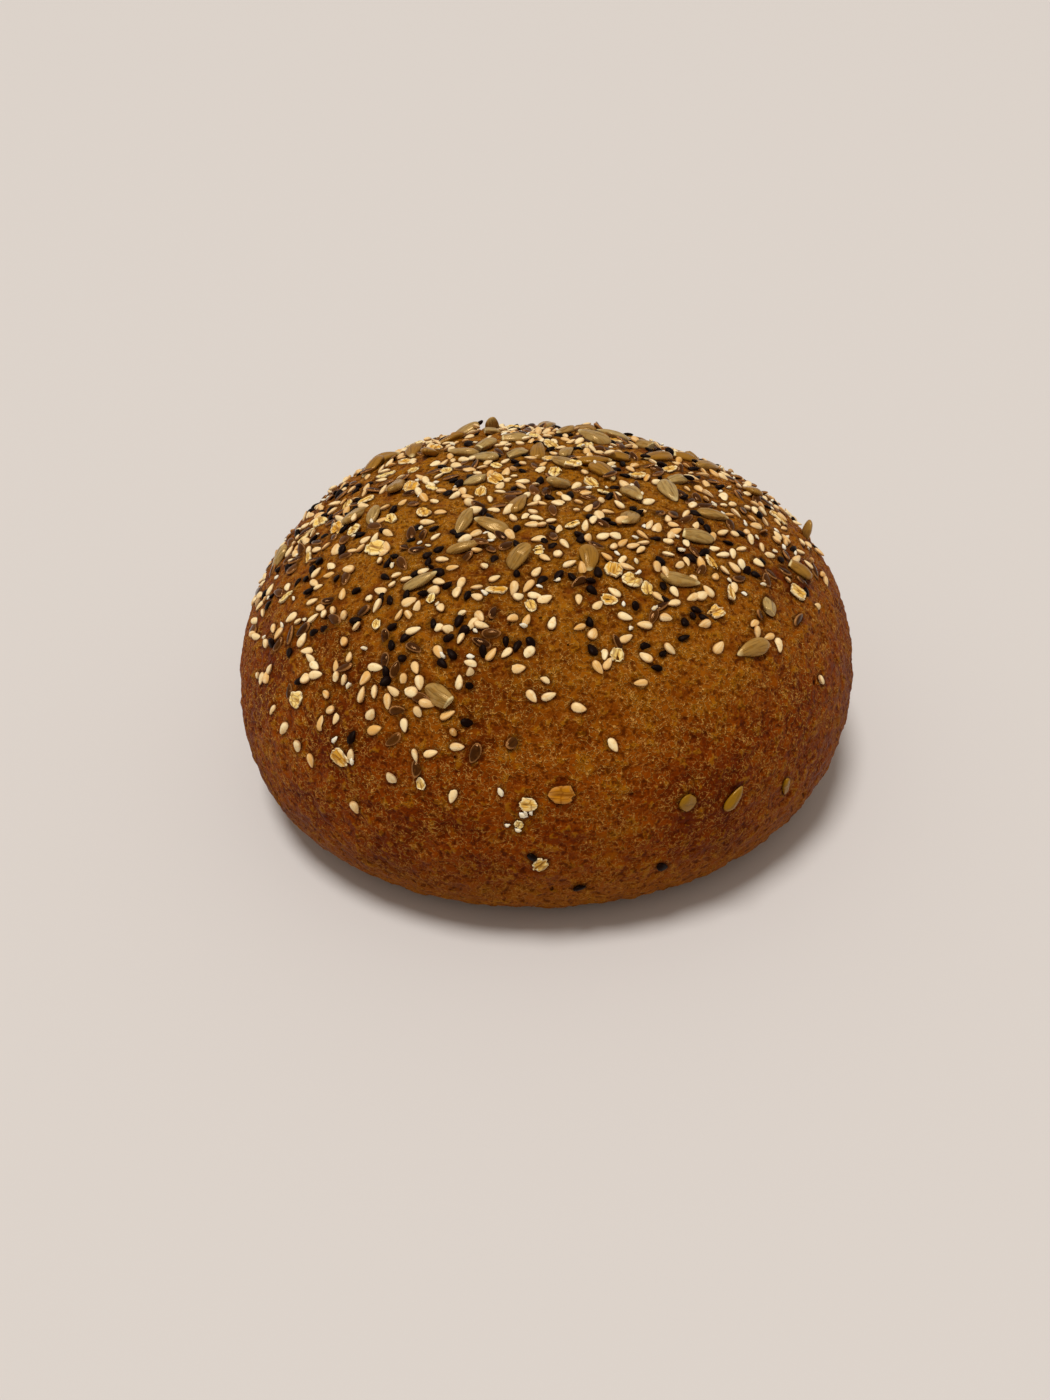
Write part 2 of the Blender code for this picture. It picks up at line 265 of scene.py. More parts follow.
def new_tree(name: str, inputs: dict[str, tuple]) -> tuple[Wiring, Node]:
    """Starts a Geometry Nodes tree.

    Args:
        name: the tree's name.
        inputs: each named input's socket type and its value, or None.

    Returns:
        The tree's wiring, and the node of its inputs, with a geometry among them.
    """
    tree = bpy.data.node_groups.new(name, "GeometryNodeTree")
    for way in ("OUTPUT", "INPUT"):
        tree.interface.new_socket(name="Geometry", in_out=way, socket_type="NodeSocketGeometry")
    for label, (kind, value) in inputs.items():
        socket = tree.interface.new_socket(name=label, in_out="INPUT", socket_type=kind)
        if value is not None:
            socket.default_value = value
    return Wiring(tree), Wiring(tree).add("NodeGroupInput")


def add_object(name: str, data: bpy.types.ID) -> bpy.types.Object:
    """Adds an object of this name and data to the scene."""
    obj = bpy.data.objects.new(name, data)
    bpy.context.scene.collection.objects.link(obj)
    return obj


def settle_inputs(modifier: bpy.types.Modifier, values: dict) -> None:
    """Sets a Geometry Nodes modifier's inputs by their names."""
    for item in modifier.node_group.interface.items_tree:
        if item.in_out == "INPUT" and item.name in values:
            modifier[item.identifier] = values[item.name]


class Slot(Enum):
    """The record's material slots."""

    CRUST = "crust"
    KERNEL = "sunflower_kernel"
    FLAKE = "oat_flake"
    LINSEED = "linseed"
    PALE_SESAME = "pale_sesame"
    BLACK_SESAME = "black_sesame"


# The share of its point that a piece has lost where it is widest
WIDEST_AT = 0.28


@dataclass(frozen=True)
class Topping:
    """A kind of seed or flake: its size, how many there are, and how it lies.

    Reach is the share of the way to the sprinkling's rim that it gets, sunk the share of
    its thickness that is in the bread, and point the share by which its tip narrows.
    """

    name: str
    length: float
    width: float
    thickness: float
    count: int
    apart: float
    reach: float
    sunk: float
    point: float

    def narrowing(self, along: float) -> float:
        """The width and thickness as a share of their most, at this share of the length."""
        left = 1 - self.point * max(0.0, along + 0.5) ** 1.5
        return left / (1 - WIDEST_AT * self.point)


KERNEL = Topping("kernel", 9.8 * MM, 5.0 * MM, 3.0 * MM, 60, 6.5 * MM, 0.74, 0.30, 0.48)
FLAKE = Topping("flake", 6.8 * MM, 4.8 * MM, 1.2 * MM, 60, 6 * MM, 0.84, 0.30, 0.0)
LINSEED = Topping("linseed", 4.8 * MM, 2.5 * MM, 1.2 * MM, 220, 2.4 * MM, 0.96, 0.42, 0.40)
BLACK_SESAME = Topping(
    "black_sesame", 3.3 * MM, 2.3 * MM, 1.2 * MM, 260, 1.9 * MM, 0.96, 0.40, 0.50
)
PALE_SESAME = Topping("pale_sesame", 3.7 * MM, 2.3 * MM, 1.2 * MM, 700, 2.1 * MM, 1.0, 0.40, 0.52)
CRUMB = Topping("oat_crumb", 1.7 * MM, 1.1 * MM, 0.7 * MM, 130, 2.2 * MM, 1.0, 0.25, 0.0)
LARGE = (KERNEL, FLAKE)
TOPPINGS = (KERNEL, FLAKE, LINSEED, BLACK_SESAME, PALE_SESAME)


@dataclass(frozen=True)
class At:
    """Where a piece is placed: azimuth, arc in mm, and spin from straight down.

    Size and width are shares of its kind's, and lean is how far its tip dips into the crust.
    """

    azimuth: float
    arc: float
    spin: float
    size: float = 1.0
    width: float = 1.0
    lean: float = 0.0


# The pieces that stand out, the kernels and flakes from the palest to the most browned
PLACED = {
    KERNEL: (
        (178, 17, 180, 0.85, 0.9), (180, 79, 30, 0.85, 1.1), (-37, 71, -60, 0.85, 0.9),
        (-8, 34, -65), (-126, 50, 140, 0.95, 0.8), (112, 17, 100, 0.85, 1.05),
        (-169, 46, 65, 0.75), (-33, 45, -145, 1.12, 0.9), (-35, 7, 60, 1.0, 0.95),
        (62, 35, 90, 1.1), (105, 50, 0, 0.8, 1.0, 60), (-52, 53, 45, 1.0, 0.85),
        (65, 19, 0, 0.8, 0.9), (-133, 28, 15, 1.03, 0.8), (-44, 30, -70, 0.95, 1.15),
        (-109, 77, 70, 1.05, 0.95), (-118, 26, -90, 1.0, 0.95), (-122, 36, 130, 0.9, 0.8),
        (-100, 38, -35, 1.0, 0.95), (-48, 76, -100, 0.98, 0.8), (4, 79, 0, 0.85, 1.0, 60),
        (25, 54, 10, 1.05), (-112, 15, 180, 0.95), (72, 48, 90, 1.1), (12, 62, 90, 0.9, 1.1),
        (-18, 72, 188, 0.98), (-74, 39, -15, 0.85, 1.2), (148, 57, 90, 1.1),
        (-69, 104, 65, 0.55, 1.5), (-61, 107, 130, 0.72, 0.9), (-49, 113, 5, 0.58, 0.8),
    ),
    FLAKE: (
        (-120, 54, 0, 0.55, 0.9), (-95, 104, -15, 0.48), (158, 46, 46, 1.15, 0.35),
        (-159, 76, -20, 1.1, 0.35), (-179, 29, -40, 0.85, 0.45), (140, 15, 0, 0.6),
        (157, 38, 60, 0.8, 0.6), (-76, 67, -20, 0.78, 0.95), (-137, 89, 95, 0.8, 1.2),
        (-25, 18, -60, 0.75), (-92, 34, 90, 0.6, 1.05), (45, 6, 30, 0.85, 0.9),
        (-129, 64, 40, 0.65, 0.7), (-167, 52, 110, 0.85, 1.1), (-64, 48, -70, 0.95, 1.1),
        (38, 11, 100, 0.95), (-110, 97, 20, 0.62, 0.85), (-94, 52, 20, 0.6),
        (-62, 52, -20, 0.7, 0.9), (180, 69, 37, 1.1, 0.9), (-167, 66, 65, 0.92, 0.45),
        (-94, 99, 82, 0.82, 0.85), (-72, 25, -60, 0.95, 0.6), (7, 26, 40),
        (-157, 17, 55, 0.75, 0.95), (-92, 115, 125, 0.85, 0.85), (17, 37, 0, 0.85),
        (-25, 75, 11, 1.12, 0.95), (-39, 54, -13, 0.9, 0.55), (2, 67, -39, 1.1, 0.6),
        (-43, 63, -39, 0.98, 0.5), (-50, 64, 80, 0.95), (-68, 44, -35, 1.02),
        (-74, 52, 70, 0.82, 0.95), (-103, 48, 95, 0.92, 0.6), (147, 46, 0, 0.85),
        (-125, 96, 70, 0.9), (-88, 97, 85, 1.12, 0.85),
    ),
    LINSEED: ((-102, 88, -15), (-96, 85, 140), (-111, 93, 10)),
    BLACK_SESAME: ((-93, 113, 40), (-73, 121, 60, 1.1), (-86, 124, 90)),
    PALE_SESAME: (
        (-80, 87, 25), (-85, 78, 70), (-105, 98, -10), (-121, 107, 20), (-105, 87, 100),
        (-35, 94, 40),
    ),
    CRUMB: (
        (-94.4, 101.6, 70, 1.2), (-94.0, 100.9, 20, 0.8), (-96.7, 104.2, 95, 0.7),
        (-97.8, 96.2, 20, 1.3), (-95.1, 105.4, 80, 0.9), (-93.2, 101.0, 10, 0.8),
    ),
}

# How many of the placed ones, counted from the last, were kneaded into the dough
KNEADED = {KERNEL: 3, FLAKE: 1}

# Where the sprinkling heaped up or left the crust bare: azimuth, arc and width in mm, share
DRIFTS = (
    (-114, 80, 15, 0.5), (-93, 69, 6, 0.8), (-64, 48, 10, 0.9), (-30, 58, 14, 1.0),
    (-8, 78, 9, 1.0), (-60, 22, 12, 0.9), (-133, 42, 8, 0.9), (-157, 52, 7, 0.8),
    (-175, 66, 10, 0.8), (90, 34, 36, 1.1), (-158, 32, 9, -1.0), (-145, 64, 9, -0.8),
    (-90, 54, 9, -0.6), (-125, 62, 8, -0.5), (-10, 34, 6, -0.5), (150, 40, 7, -0.7),
    (-70, 65, 10, 1.3),
)


@dataclass(frozen=True)
class LoafForm:
    """The loaf's surface: a domed crown above its widest height, and a tucked side."""

    girth_radius: float = 88 * MM
    girth_height: float = 24 * MM
    height: float = 79.5 * MM
    foot_radius: float = 72 * MM
    crown_fullness: float = 2.18
    shoulder_fullness: float = 2.41
    tuck_fullness: float = 2.07
    profile_steps: int = 90
    girth_waves: tuple = ((2, -0.008, 7), (3, 0.013, 2), (4, -0.010, -7))
    swell_count: int = 34
    swell_width: Range = (11 * MM, 24 * MM)
    swell_height: float = 0.9 * MM
    swell_seed: int = 5
    flat_margin: float = 22 * MM
    crease_azimuth: float = -88
    crease_arc: float = 83 * MM
    crease_length: float = 17 * MM
    crease_width: float = 4.5 * MM
    crease_depth: float = 0.9 * MM

    @cached_property
    def profile(self) -> tuple[list[float], list[tuple[float, float]]]:
        """The crust's arcs, and its radius and height at each, from crown to foot."""
        points = []
        for step in range(self.profile_steps + 1):
            angle = math.pi / 2 * (1 - step / self.profile_steps)
            wide = math.cos(angle) ** (2 / self.shoulder_fullness)
            up = math.sin(angle) ** (2 / self.crown_fullness)
            rise = (self.height - self.girth_height) * up
            points.append((self.girth_radius * wide, self.girth_height + rise))
        for step in range(1, self.profile_steps + 1):
            angle = math.pi / 2 * step / self.profile_steps
            wide = math.cos(angle) ** (2 / self.tuck_fullness)
            down = math.sin(angle) ** (2 / self.tuck_fullness)
            radius = self.foot_radius + (self.girth_radius - self.foot_radius) * wide
            points.append((radius, self.girth_height * (1 - down)))
        arcs = [0.0]
        for before, after in zip(points, points[1:]):
            arcs.append(arcs[-1] + math.dist(before, after))
        return arcs, points

    @property
    def full_arc(self) -> float:
        """The length of the crust from the crown's top to the foot's edge."""
        return self.profile[0][-1]

    def smooth_point(self, azimuth: float, arc: float) -> Vector:
        """A point of the crust before its swells.

        Args:
            azimuth: the way round the loaf, in radians.
            arc: the way down from the crown's top.

        Returns:
            The point.
        """
        arcs, points = self.profile
        after = min(max(bisect.bisect(arcs, arc), 1), len(arcs) - 1)
        share = (arc - arcs[after - 1]) / (arcs[after] - arcs[after - 1])
        radius = points[after - 1][0] + share * (points[after][0] - points[after - 1][0])
        height = points[after - 1][1] + share * (points[after][1] - points[after - 1][1])
        for count, depth, turn in self.girth_waves:
            radius *= 1 + depth * math.cos(count * azimuth - count * math.radians(turn))
        return Vector((radius * math.cos(azimuth), radius * math.sin(azimuth), height))

    def outward(self, azimuth: float, arc: float, surface: Surface) -> Vector:
        """The outward normal of a surface.

        Args:
            azimuth: the way round the loaf, in radians.
            arc: the way down from the crown's top.
            surface: the surface, as a function of the azimuth and the arc.

        Returns:
            The normal, of length 1.
        """
        step = 0.5 * MM
        arc = max(arc, step)
        reach = max(self.smooth_point(azimuth, arc).xy.length, step)
        downhill = surface(azimuth, arc + step) - surface(azimuth, arc - step)
        around = surface(azimuth + step / reach, arc) - surface(azimuth - step / reach, arc)
        return downhill.cross(around).normalized()

    @cached_property
    def swells(self) -> list[tuple[Vector, float, float]]:
        """Each soft swell's middle, width and height."""
        draw = random.Random(self.swell_seed)
        found = []
        for _ in range(self.swell_count):
            azimuth = draw.uniform(-math.pi, math.pi)
            middle = self.smooth_point(azimuth, self.full_arc * math.sqrt(draw.random()))
            height = self.swell_height * draw.uniform(-1, 1)
            found.append((middle, draw.uniform(*self.swell_width), height))
        return found

    def point(self, azimuth: float, arc: float) -> Vector:
        """A point of the crust, swells and crease included.

        Args:
            azimuth: the way round the loaf, in radians.
            arc: the way down from the crown's top.

        Returns:
            The point.
        """
        point = self.smooth_point(azimuth, arc)
        lift = sum(
            height * math.exp(-((point - middle).length / width) ** 2)
            for middle, width, height in self.swells
        )
        along = (azimuth - math.radians(self.crease_azimuth)) * point.xy.length
        across = arc - self.crease_arc
        dent = (along / self.crease_length) ** 2 + (across / self.crease_width) ** 2
        lift -= self.crease_depth * math.exp(-dent)
        settle = min(1.0, (self.full_arc - arc) / self.flat_margin)
        return point + self.outward(azimuth, arc, self.smooth_point) * (lift * settle)


@dataclass(frozen=True)
class Lain:
    """One seed or flake as it lies: spin turns it about the crust's normal."""

    topping: Topping
    azimuth: float
    arc: float
    spin: float
    tilt: float
    roll: float
    size: float
    width: float
    rise: float

    @property
    def lift(self) -> float:
        """How far its middle stands off the crust."""
        return self.topping.thickness * self.size * (0.5 - self.topping.sunk) + self.rise

    def place(self, form: LoafForm) -> Matrix:
        """Lays it on the crust.

        Args:
            form: the loaf's surface.

        Returns:
            The matrix from its own frame, X along its length and Z up, to the loaf's.
        """
        point = form.point(self.azimuth, self.arc)
        normal = form.outward(self.azimuth, self.arc, form.point)
        downhill = form.point(self.azimuth, self.arc + MM) - point
        along = (downhill - normal * downhill.dot(normal)).normalized()
        across = normal.cross(along)
        turned = Matrix((along, across, normal)).transposed()
        turned @= Matrix.Rotation(self.spin, 3, "Z") @ Matrix.Rotation(self.tilt, 3, "Y")
        turned @= Matrix.Rotation(self.roll, 3, "X")
        return (
            Matrix.Translation(point + normal * self.lift)
            @ turned.to_4x4()
            @ Matrix.Diagonal((self.size, self.size * self.width, self.size, 1))
        )


@dataclass
class Sprinkling:
    """Seeds and flakes laid on the crust one by one, the largest kinds first."""

    form: LoafForm
    seed: int = 11
    fade: float = 30 * MM
    front_thinning: float = 0.25
    large_thinning: float = 1.0
    evenness: float = 0.5
    clump_size: float = 8 * MM
    clumping: float = 1.3
    closeness: float = 0.32
    most_tries: int = 60000
    size_range: Range = (0.84, 1.12)
    width_range: Range = (0.85, 1.1)
    large_askew: float = 9
    small_askew: float = 16
    perch: float = 0.85
    stack_reach: float = 0.5 * MM
    rim: tuple = (
        (-180, 100 * MM),
        (-150, 97 * MM),
        (-120, 103 * MM),
        (-92, 79 * MM),
        (-60, 77 * MM),
        (-20, 86 * MM),
        (40, 92 * MM),
        (180, 100 * MM),
    )
    lain: list[Lain] = field(default_factory=list)

    def __post_init__(self) -> None:
        """Lays every piece."""
        self.draw = random.Random(self.seed)
        self.spots: list[tuple[Vector, Topping]] = []
        self.large: list[tuple[Lain, Matrix]] = []
        self.small: list[tuple[Lain, Matrix]] = []
        self.drifts = [
            (self.form.smooth_point(math.radians(azimuth), arc * MM), width * MM, share)
            for azimuth, arc, width, share in DRIFTS
        ]
        for topping in (*TOPPINGS, CRUMB):
            self.place(topping)
            self.scatter(topping)

    def rim_arc(self, azimuth: float) -> float:
        """How far down the crust the sprinkling reaches at this azimuth."""
        degrees = math.degrees(azimuth)
        for (low, near), (high, far) in zip(self.rim, self.rim[1:]):
            if degrees <= high:
                share = (1 - math.cos(math.pi * (degrees - low) / (high - low))) / 2
                return near + share * (far - near)
        return self.rim[-1][1]

    def chance(self, topping: Topping, azimuth: float, arc: float) -> float:
        """How likely a piece of this kind is to stay where it falls."""
        depth = min(1.0, max(0.0, self.rim_arc(azimuth) * topping.reach - arc) / self.fade)
        if not depth:
            return 0.0
        thinning = self.large_thinning if topping in LARGE else self.front_thinning
        thinned = 1 - thinning * (1 - math.sin(azimuth)) / 2
        spot = self.form.smooth_point(azimuth, arc)
        heaped = 1 + sum(
            share * math.exp(-((spot - middle).length / width) ** 2)
            for middle, width, share in self.drifts
        )
        clump = 1 + self.clumping * noise.noise(spot / self.clump_size)
        return self.evenness * depth * thinned * heaped * clump

    def place(self, topping: Topping) -> None:
        """Lays the pieces of this kind that have a place of their own."""
        for row in PLACED.get(topping, ()):
            at = At(*row)
            azimuth, spin, lean = (math.radians(turn) for turn in (at.azimuth, at.spin, at.lean))
            self.lay(topping, azimuth, at.arc * MM, spin, at.size, at.width, lean)

    def scatter(self, topping: Topping) -> None:
        """Lays the rest of this kind, each where there is room and the rule allows it."""
        left = topping.count - len(PLACED.get(topping, ()))
        reach = max(arc for _, arc in self.rim)
        for _ in range(self.most_tries):
            if not left:
                break
            azimuth = self.draw.uniform(-math.pi, math.pi)
            arc = reach * math.sqrt(self.draw.random())
            stays = self.draw.random() < self.chance(topping, azimuth, arc)
            if stays and self.has_room(topping, azimuth, arc):
                spin = self.draw.uniform(-math.pi, math.pi)
                size = self.draw.uniform(*self.size_range)
                width = self.draw.uniform(*self.width_range)
                self.lay(topping, azimuth, arc, spin, size, width)
                left -= 1

    def has_room(self, topping: Topping, azimuth: float, arc: float) -> bool:
        """Whether a piece here would be clear enough of the others."""
        spot = self.form.smooth_point(azimuth, arc)
        for other, kind in self.spots:
            spread = (topping.length + topping.width + kind.length + kind.width) / 2
            least = topping.apart if kind is topping else self.closeness * spread
            if (spot - other).length < least:
                return False
        return True

    def lay(
        self,
        topping: Topping,
        azimuth: float,
        arc: float,
        spin: float,
        size: float,
        width: float,
        lean: float = 0.0,
    ) -> None:
        """Lays one piece, a little askew, on the crust or on what lies flat there already.

        Args:
            topping: its kind.
            azimuth: the way round the loaf, in radians.
            arc: the way down from the crown's top.
            spin: its turn about the crust's normal, in radians.
            size: its size, as a share of its kind's.
            width: its width, as a share of what its size gives.
            lean: how far its tip dips into the crust, in radians.
        """
        askew = math.radians(self.large_askew if topping in LARGE else self.small_askew)
        tilt = lean + self.draw.gauss(0, askew)
        roll = self.draw.gauss(0, askew)
        spot = self.form.point(azimuth, arc)
        normal = self.form.outward(azimuth, arc, self.form.point)
        rise = max(
            self.rise_over(spot, normal, self.large, 0.0),
            self.rise_over(spot, normal, self.small, self.stack_reach),
        )
        piece = Lain(topping, azimuth, arc, spin, tilt, roll, size, width, rise)
        self.lain.append(piece)
        self.spots.append((self.form.smooth_point(azimuth, arc), topping))
        if not lean:
            pile = self.large if topping in LARGE else self.small
            pile.append((piece, piece.place(self.form).inverted()))

    def rise_over(
        self, spot: Vector, normal: Vector, pile: list[tuple[Lain, Matrix]], reach: float
    ) -> float:
        """How high the pieces of a pile stand over a place, along the crust's normal.

        Args:
            spot: the place on the crust.
            normal: the crust's normal there.
            pile: the pieces, each with the matrix from the loaf's frame back to its own.
            reach: how far beside a piece it still counts.

        Returns:
            The height, or nothing.
        """
        rise = 0.0
        for piece, back in pile:
            kind = piece.topping
            local = back @ spot
            if local.length > kind.length:
                continue
            share = kind.narrowing(local.x / kind.length)
            wide = kind.width / 2 * share + reach
            shrink = Matrix.Diagonal((kind.length / 2 + reach, wide, kind.thickness / 2 * share))
            start = shrink.inverted() @ local
            way = shrink.inverted() @ back.to_3x3() @ normal
            middle = -start.dot(way) / way.length_squared
            spread = middle**2 - (start.length_squared - 1) / way.length_squared
            if spread > 0:
                rise = max(rise, self.perch * (middle + math.sqrt(spread)))
        return rise

    def of_kind(self, topping: Topping) -> list[Lain]:
        """The pieces of one kind."""
        return [piece for piece in self.lain if piece.topping is topping]


@dataclass(frozen=True)
class GlazedCrust:
    """Whole grain crust, brushed with water and baked: bran-flecked brown with a satin glaze.

    The bran gives golden and dark red flecks, and the dried glaze has fine wrinkles, which
    carry tan glints that are painted highlights. The glaze is caramel, so its highlights are
    warm, and they break up on the grain, whose hollows hold painted shade. The crust is painted
    dark round each seed, a painted shadow of the seed. The crown is more golden, and the low
    rim, which the glaze misses, is dull.
    The real grain and wrinkles are 0.3 mm wide, and are drawn about three and two times as
    coarse, so that they show.
    """

    brown: str = "#803702"
    warm: str = "#8b4406"
    golden: str = "#a0670f"
    red: str = "#561902"
    # Painted highlights: the tan glints laid on the glaze's wrinkles
    painted_glint: str = "#d09648"
    shadow: str = "#381002"
    pore: str = "#1e0702"
    # Painted shadow: the dark round each seed, where the seed shades the crust
    painted_seed_shadow: str = "#240d02"
    dull: str = "#87540f"
    caramel: str = "#c87a3a"
    patch_size: float = 26 * MM
    mottle_size: float = 6 * MM
    fleck_size: float = 2.4 * MM
    grain_size: float = 1.3 * MM
    wrinkle_and_glint_size: float = 1.3 * MM
    wrinkle_and_glint_edges: Range = (0.055, 0.02)
    wrinkle_and_glint_fade: float = -8 * MM
    pore_spacing: float = 6.5 * MM
    pore_share: float = 0.5
    pore_radius: float = 0.13
    bump_depth: float = 0.5 * MM
    dull_height: float = 24 * MM
    bare_height: float = 2 * MM
    crown_height: float = 46 * MM
    golden_height: float = 80 * MM
    seed_shadow_reach: float = 1.1 * MM
    seed_shadow_core: float = 0.1 * MM
    roughness: Range = (0.48, 0.74)
    specular: float = 0.07
    refraction: float = 1.45

    def material(self) -> bpy.types.Material:
        """Makes the material, with its patterns on the piece's own coordinates."""
        made, wiring, shader = new_material("glazed_whole_grain_crust")
        place = out(wiring.add("ShaderNodeTexCoord"), "Object")
        height = out(wiring.add("ShaderNodeSeparateXYZ", {"Vector": place}), "Z")
        clear = wiring.stored("clearance", "Fac")
        patches = wiring.cloud(place, self.patch_size)
        mottles = wiring.cloud(place, self.mottle_size, 4.0)
        flecks = wiring.cloud(place, self.fleck_size, 2.0)
        grains = wiring.cloud(place, self.grain_size, 2.0)
        pores = wiring.specks(place, self.pore_spacing, self.pore_share, self.pore_radius)
        masks = (
            (mottles, 0.34, 0.52),
            (grains, 0.46, 0.53),
            (height, self.wrinkle_and_glint_fade, self.crown_height),
        )
        wrinkles_and_glints = self.wrinkles_and_glints(wiring, place, masks)
        # Each tint, its pattern, where that starts and fully shows it, and how much of it
        layers = (
            (self.warm, patches, 0.46, 0.64, 0.8),
            (self.golden, height, self.crown_height, self.golden_height, 0.7),
            (self.red, patches, 0.47, 0.36, 0.6),
            (self.golden, mottles, 0.56, 0.72, 0.5),
            (self.red, mottles, 0.46, 0.34, 0.5),
            (self.golden, flecks, 0.58, 0.64, 0.55),
            (self.red, flecks, 0.43, 0.35, 0.5),
            (self.dull, height, self.dull_height, self.bare_height, 0.6),
            (self.shadow, grains, 0.46, 0.34, 0.7),
            # Painted highlights: tan glints on the wrinkles
            (self.painted_glint, wrinkles_and_glints, 0.0, 1.0, 0.85),
            (self.pore, pores, 0.0, 1.0, 0.85),
            # Painted shadow round each seed, darkest next to it
            (self.painted_seed_shadow, clear, self.seed_shadow_reach, self.seed_shadow_core, 0.7),
        )
        # Each pattern, its depth as a share of the bumps', and whether it sinks
        reliefs = (
            (flecks, 1.8, False), (grains, 1.2, False), (wrinkles_and_glints, 0.5, False), (pores, 1.5, True),
        )
        look = {
            "Base Color": wiring.layered(self.brown, layers),
            "Roughness": wiring.ramp(mottles, 0.35, 0.65, *self.roughness),
            "Normal": self.relief(wiring, reliefs),
            "IOR": self.refraction,
            "Specular IOR Level": self.specular,
            "Specular Tint": linear(self.caramel),
        }
        wiring.feed(shader, look)
        return made

    def wrinkles_and_glints(self, wiring: Wiring, place: Socket, masks: tuple[tuple, ...]) -> Socket:
        """Short curling wrinkles of the dried glaze, which also carry the painted highlights, in
        drifts, fainter towards the foot.

        Args:
            wiring: the material's wiring.
            place: the coordinates.
            masks: each pattern that they need, and where it starts and fully lets them show.

        Returns:
            1 on a wrinkle and 0 elsewhere.
        """
        swirl = wiring.cloud(place, self.wrinkle_and_glint_size, 1.0)
        # They run where the pattern has its middle value
        aside = wiring.math("ABSOLUTE", wiring.math("SUBTRACT", swirl, 0.5))
        wrinkles_and_glints = wiring.ramp(aside, *self.wrinkle_and_glint_edges)
        for mask in masks:
            wrinkles_and_glints = wiring.math("MULTIPLY", wrinkles_and_glints, wiring.ramp(*mask))
        return wrinkles_and_glints

    def relief(self, wiring: Wiring, reliefs: tuple[tuple, ...]) -> Socket:
        """The grain of the crust, which is finer than its mesh.

        Args:
            wiring: the material's wiring.
            reliefs: the patterns with their depths.

        Returns:
            The normal.
        """
        normal = None
        for pattern, depth, sinks in reliefs:
            links = {"Height": pattern, "Distance": self.bump_depth * depth}
            if normal:
                links["Normal"] = normal
            normal = wiring.get("ShaderNodeBump", links, invert=sinks)
        return normal


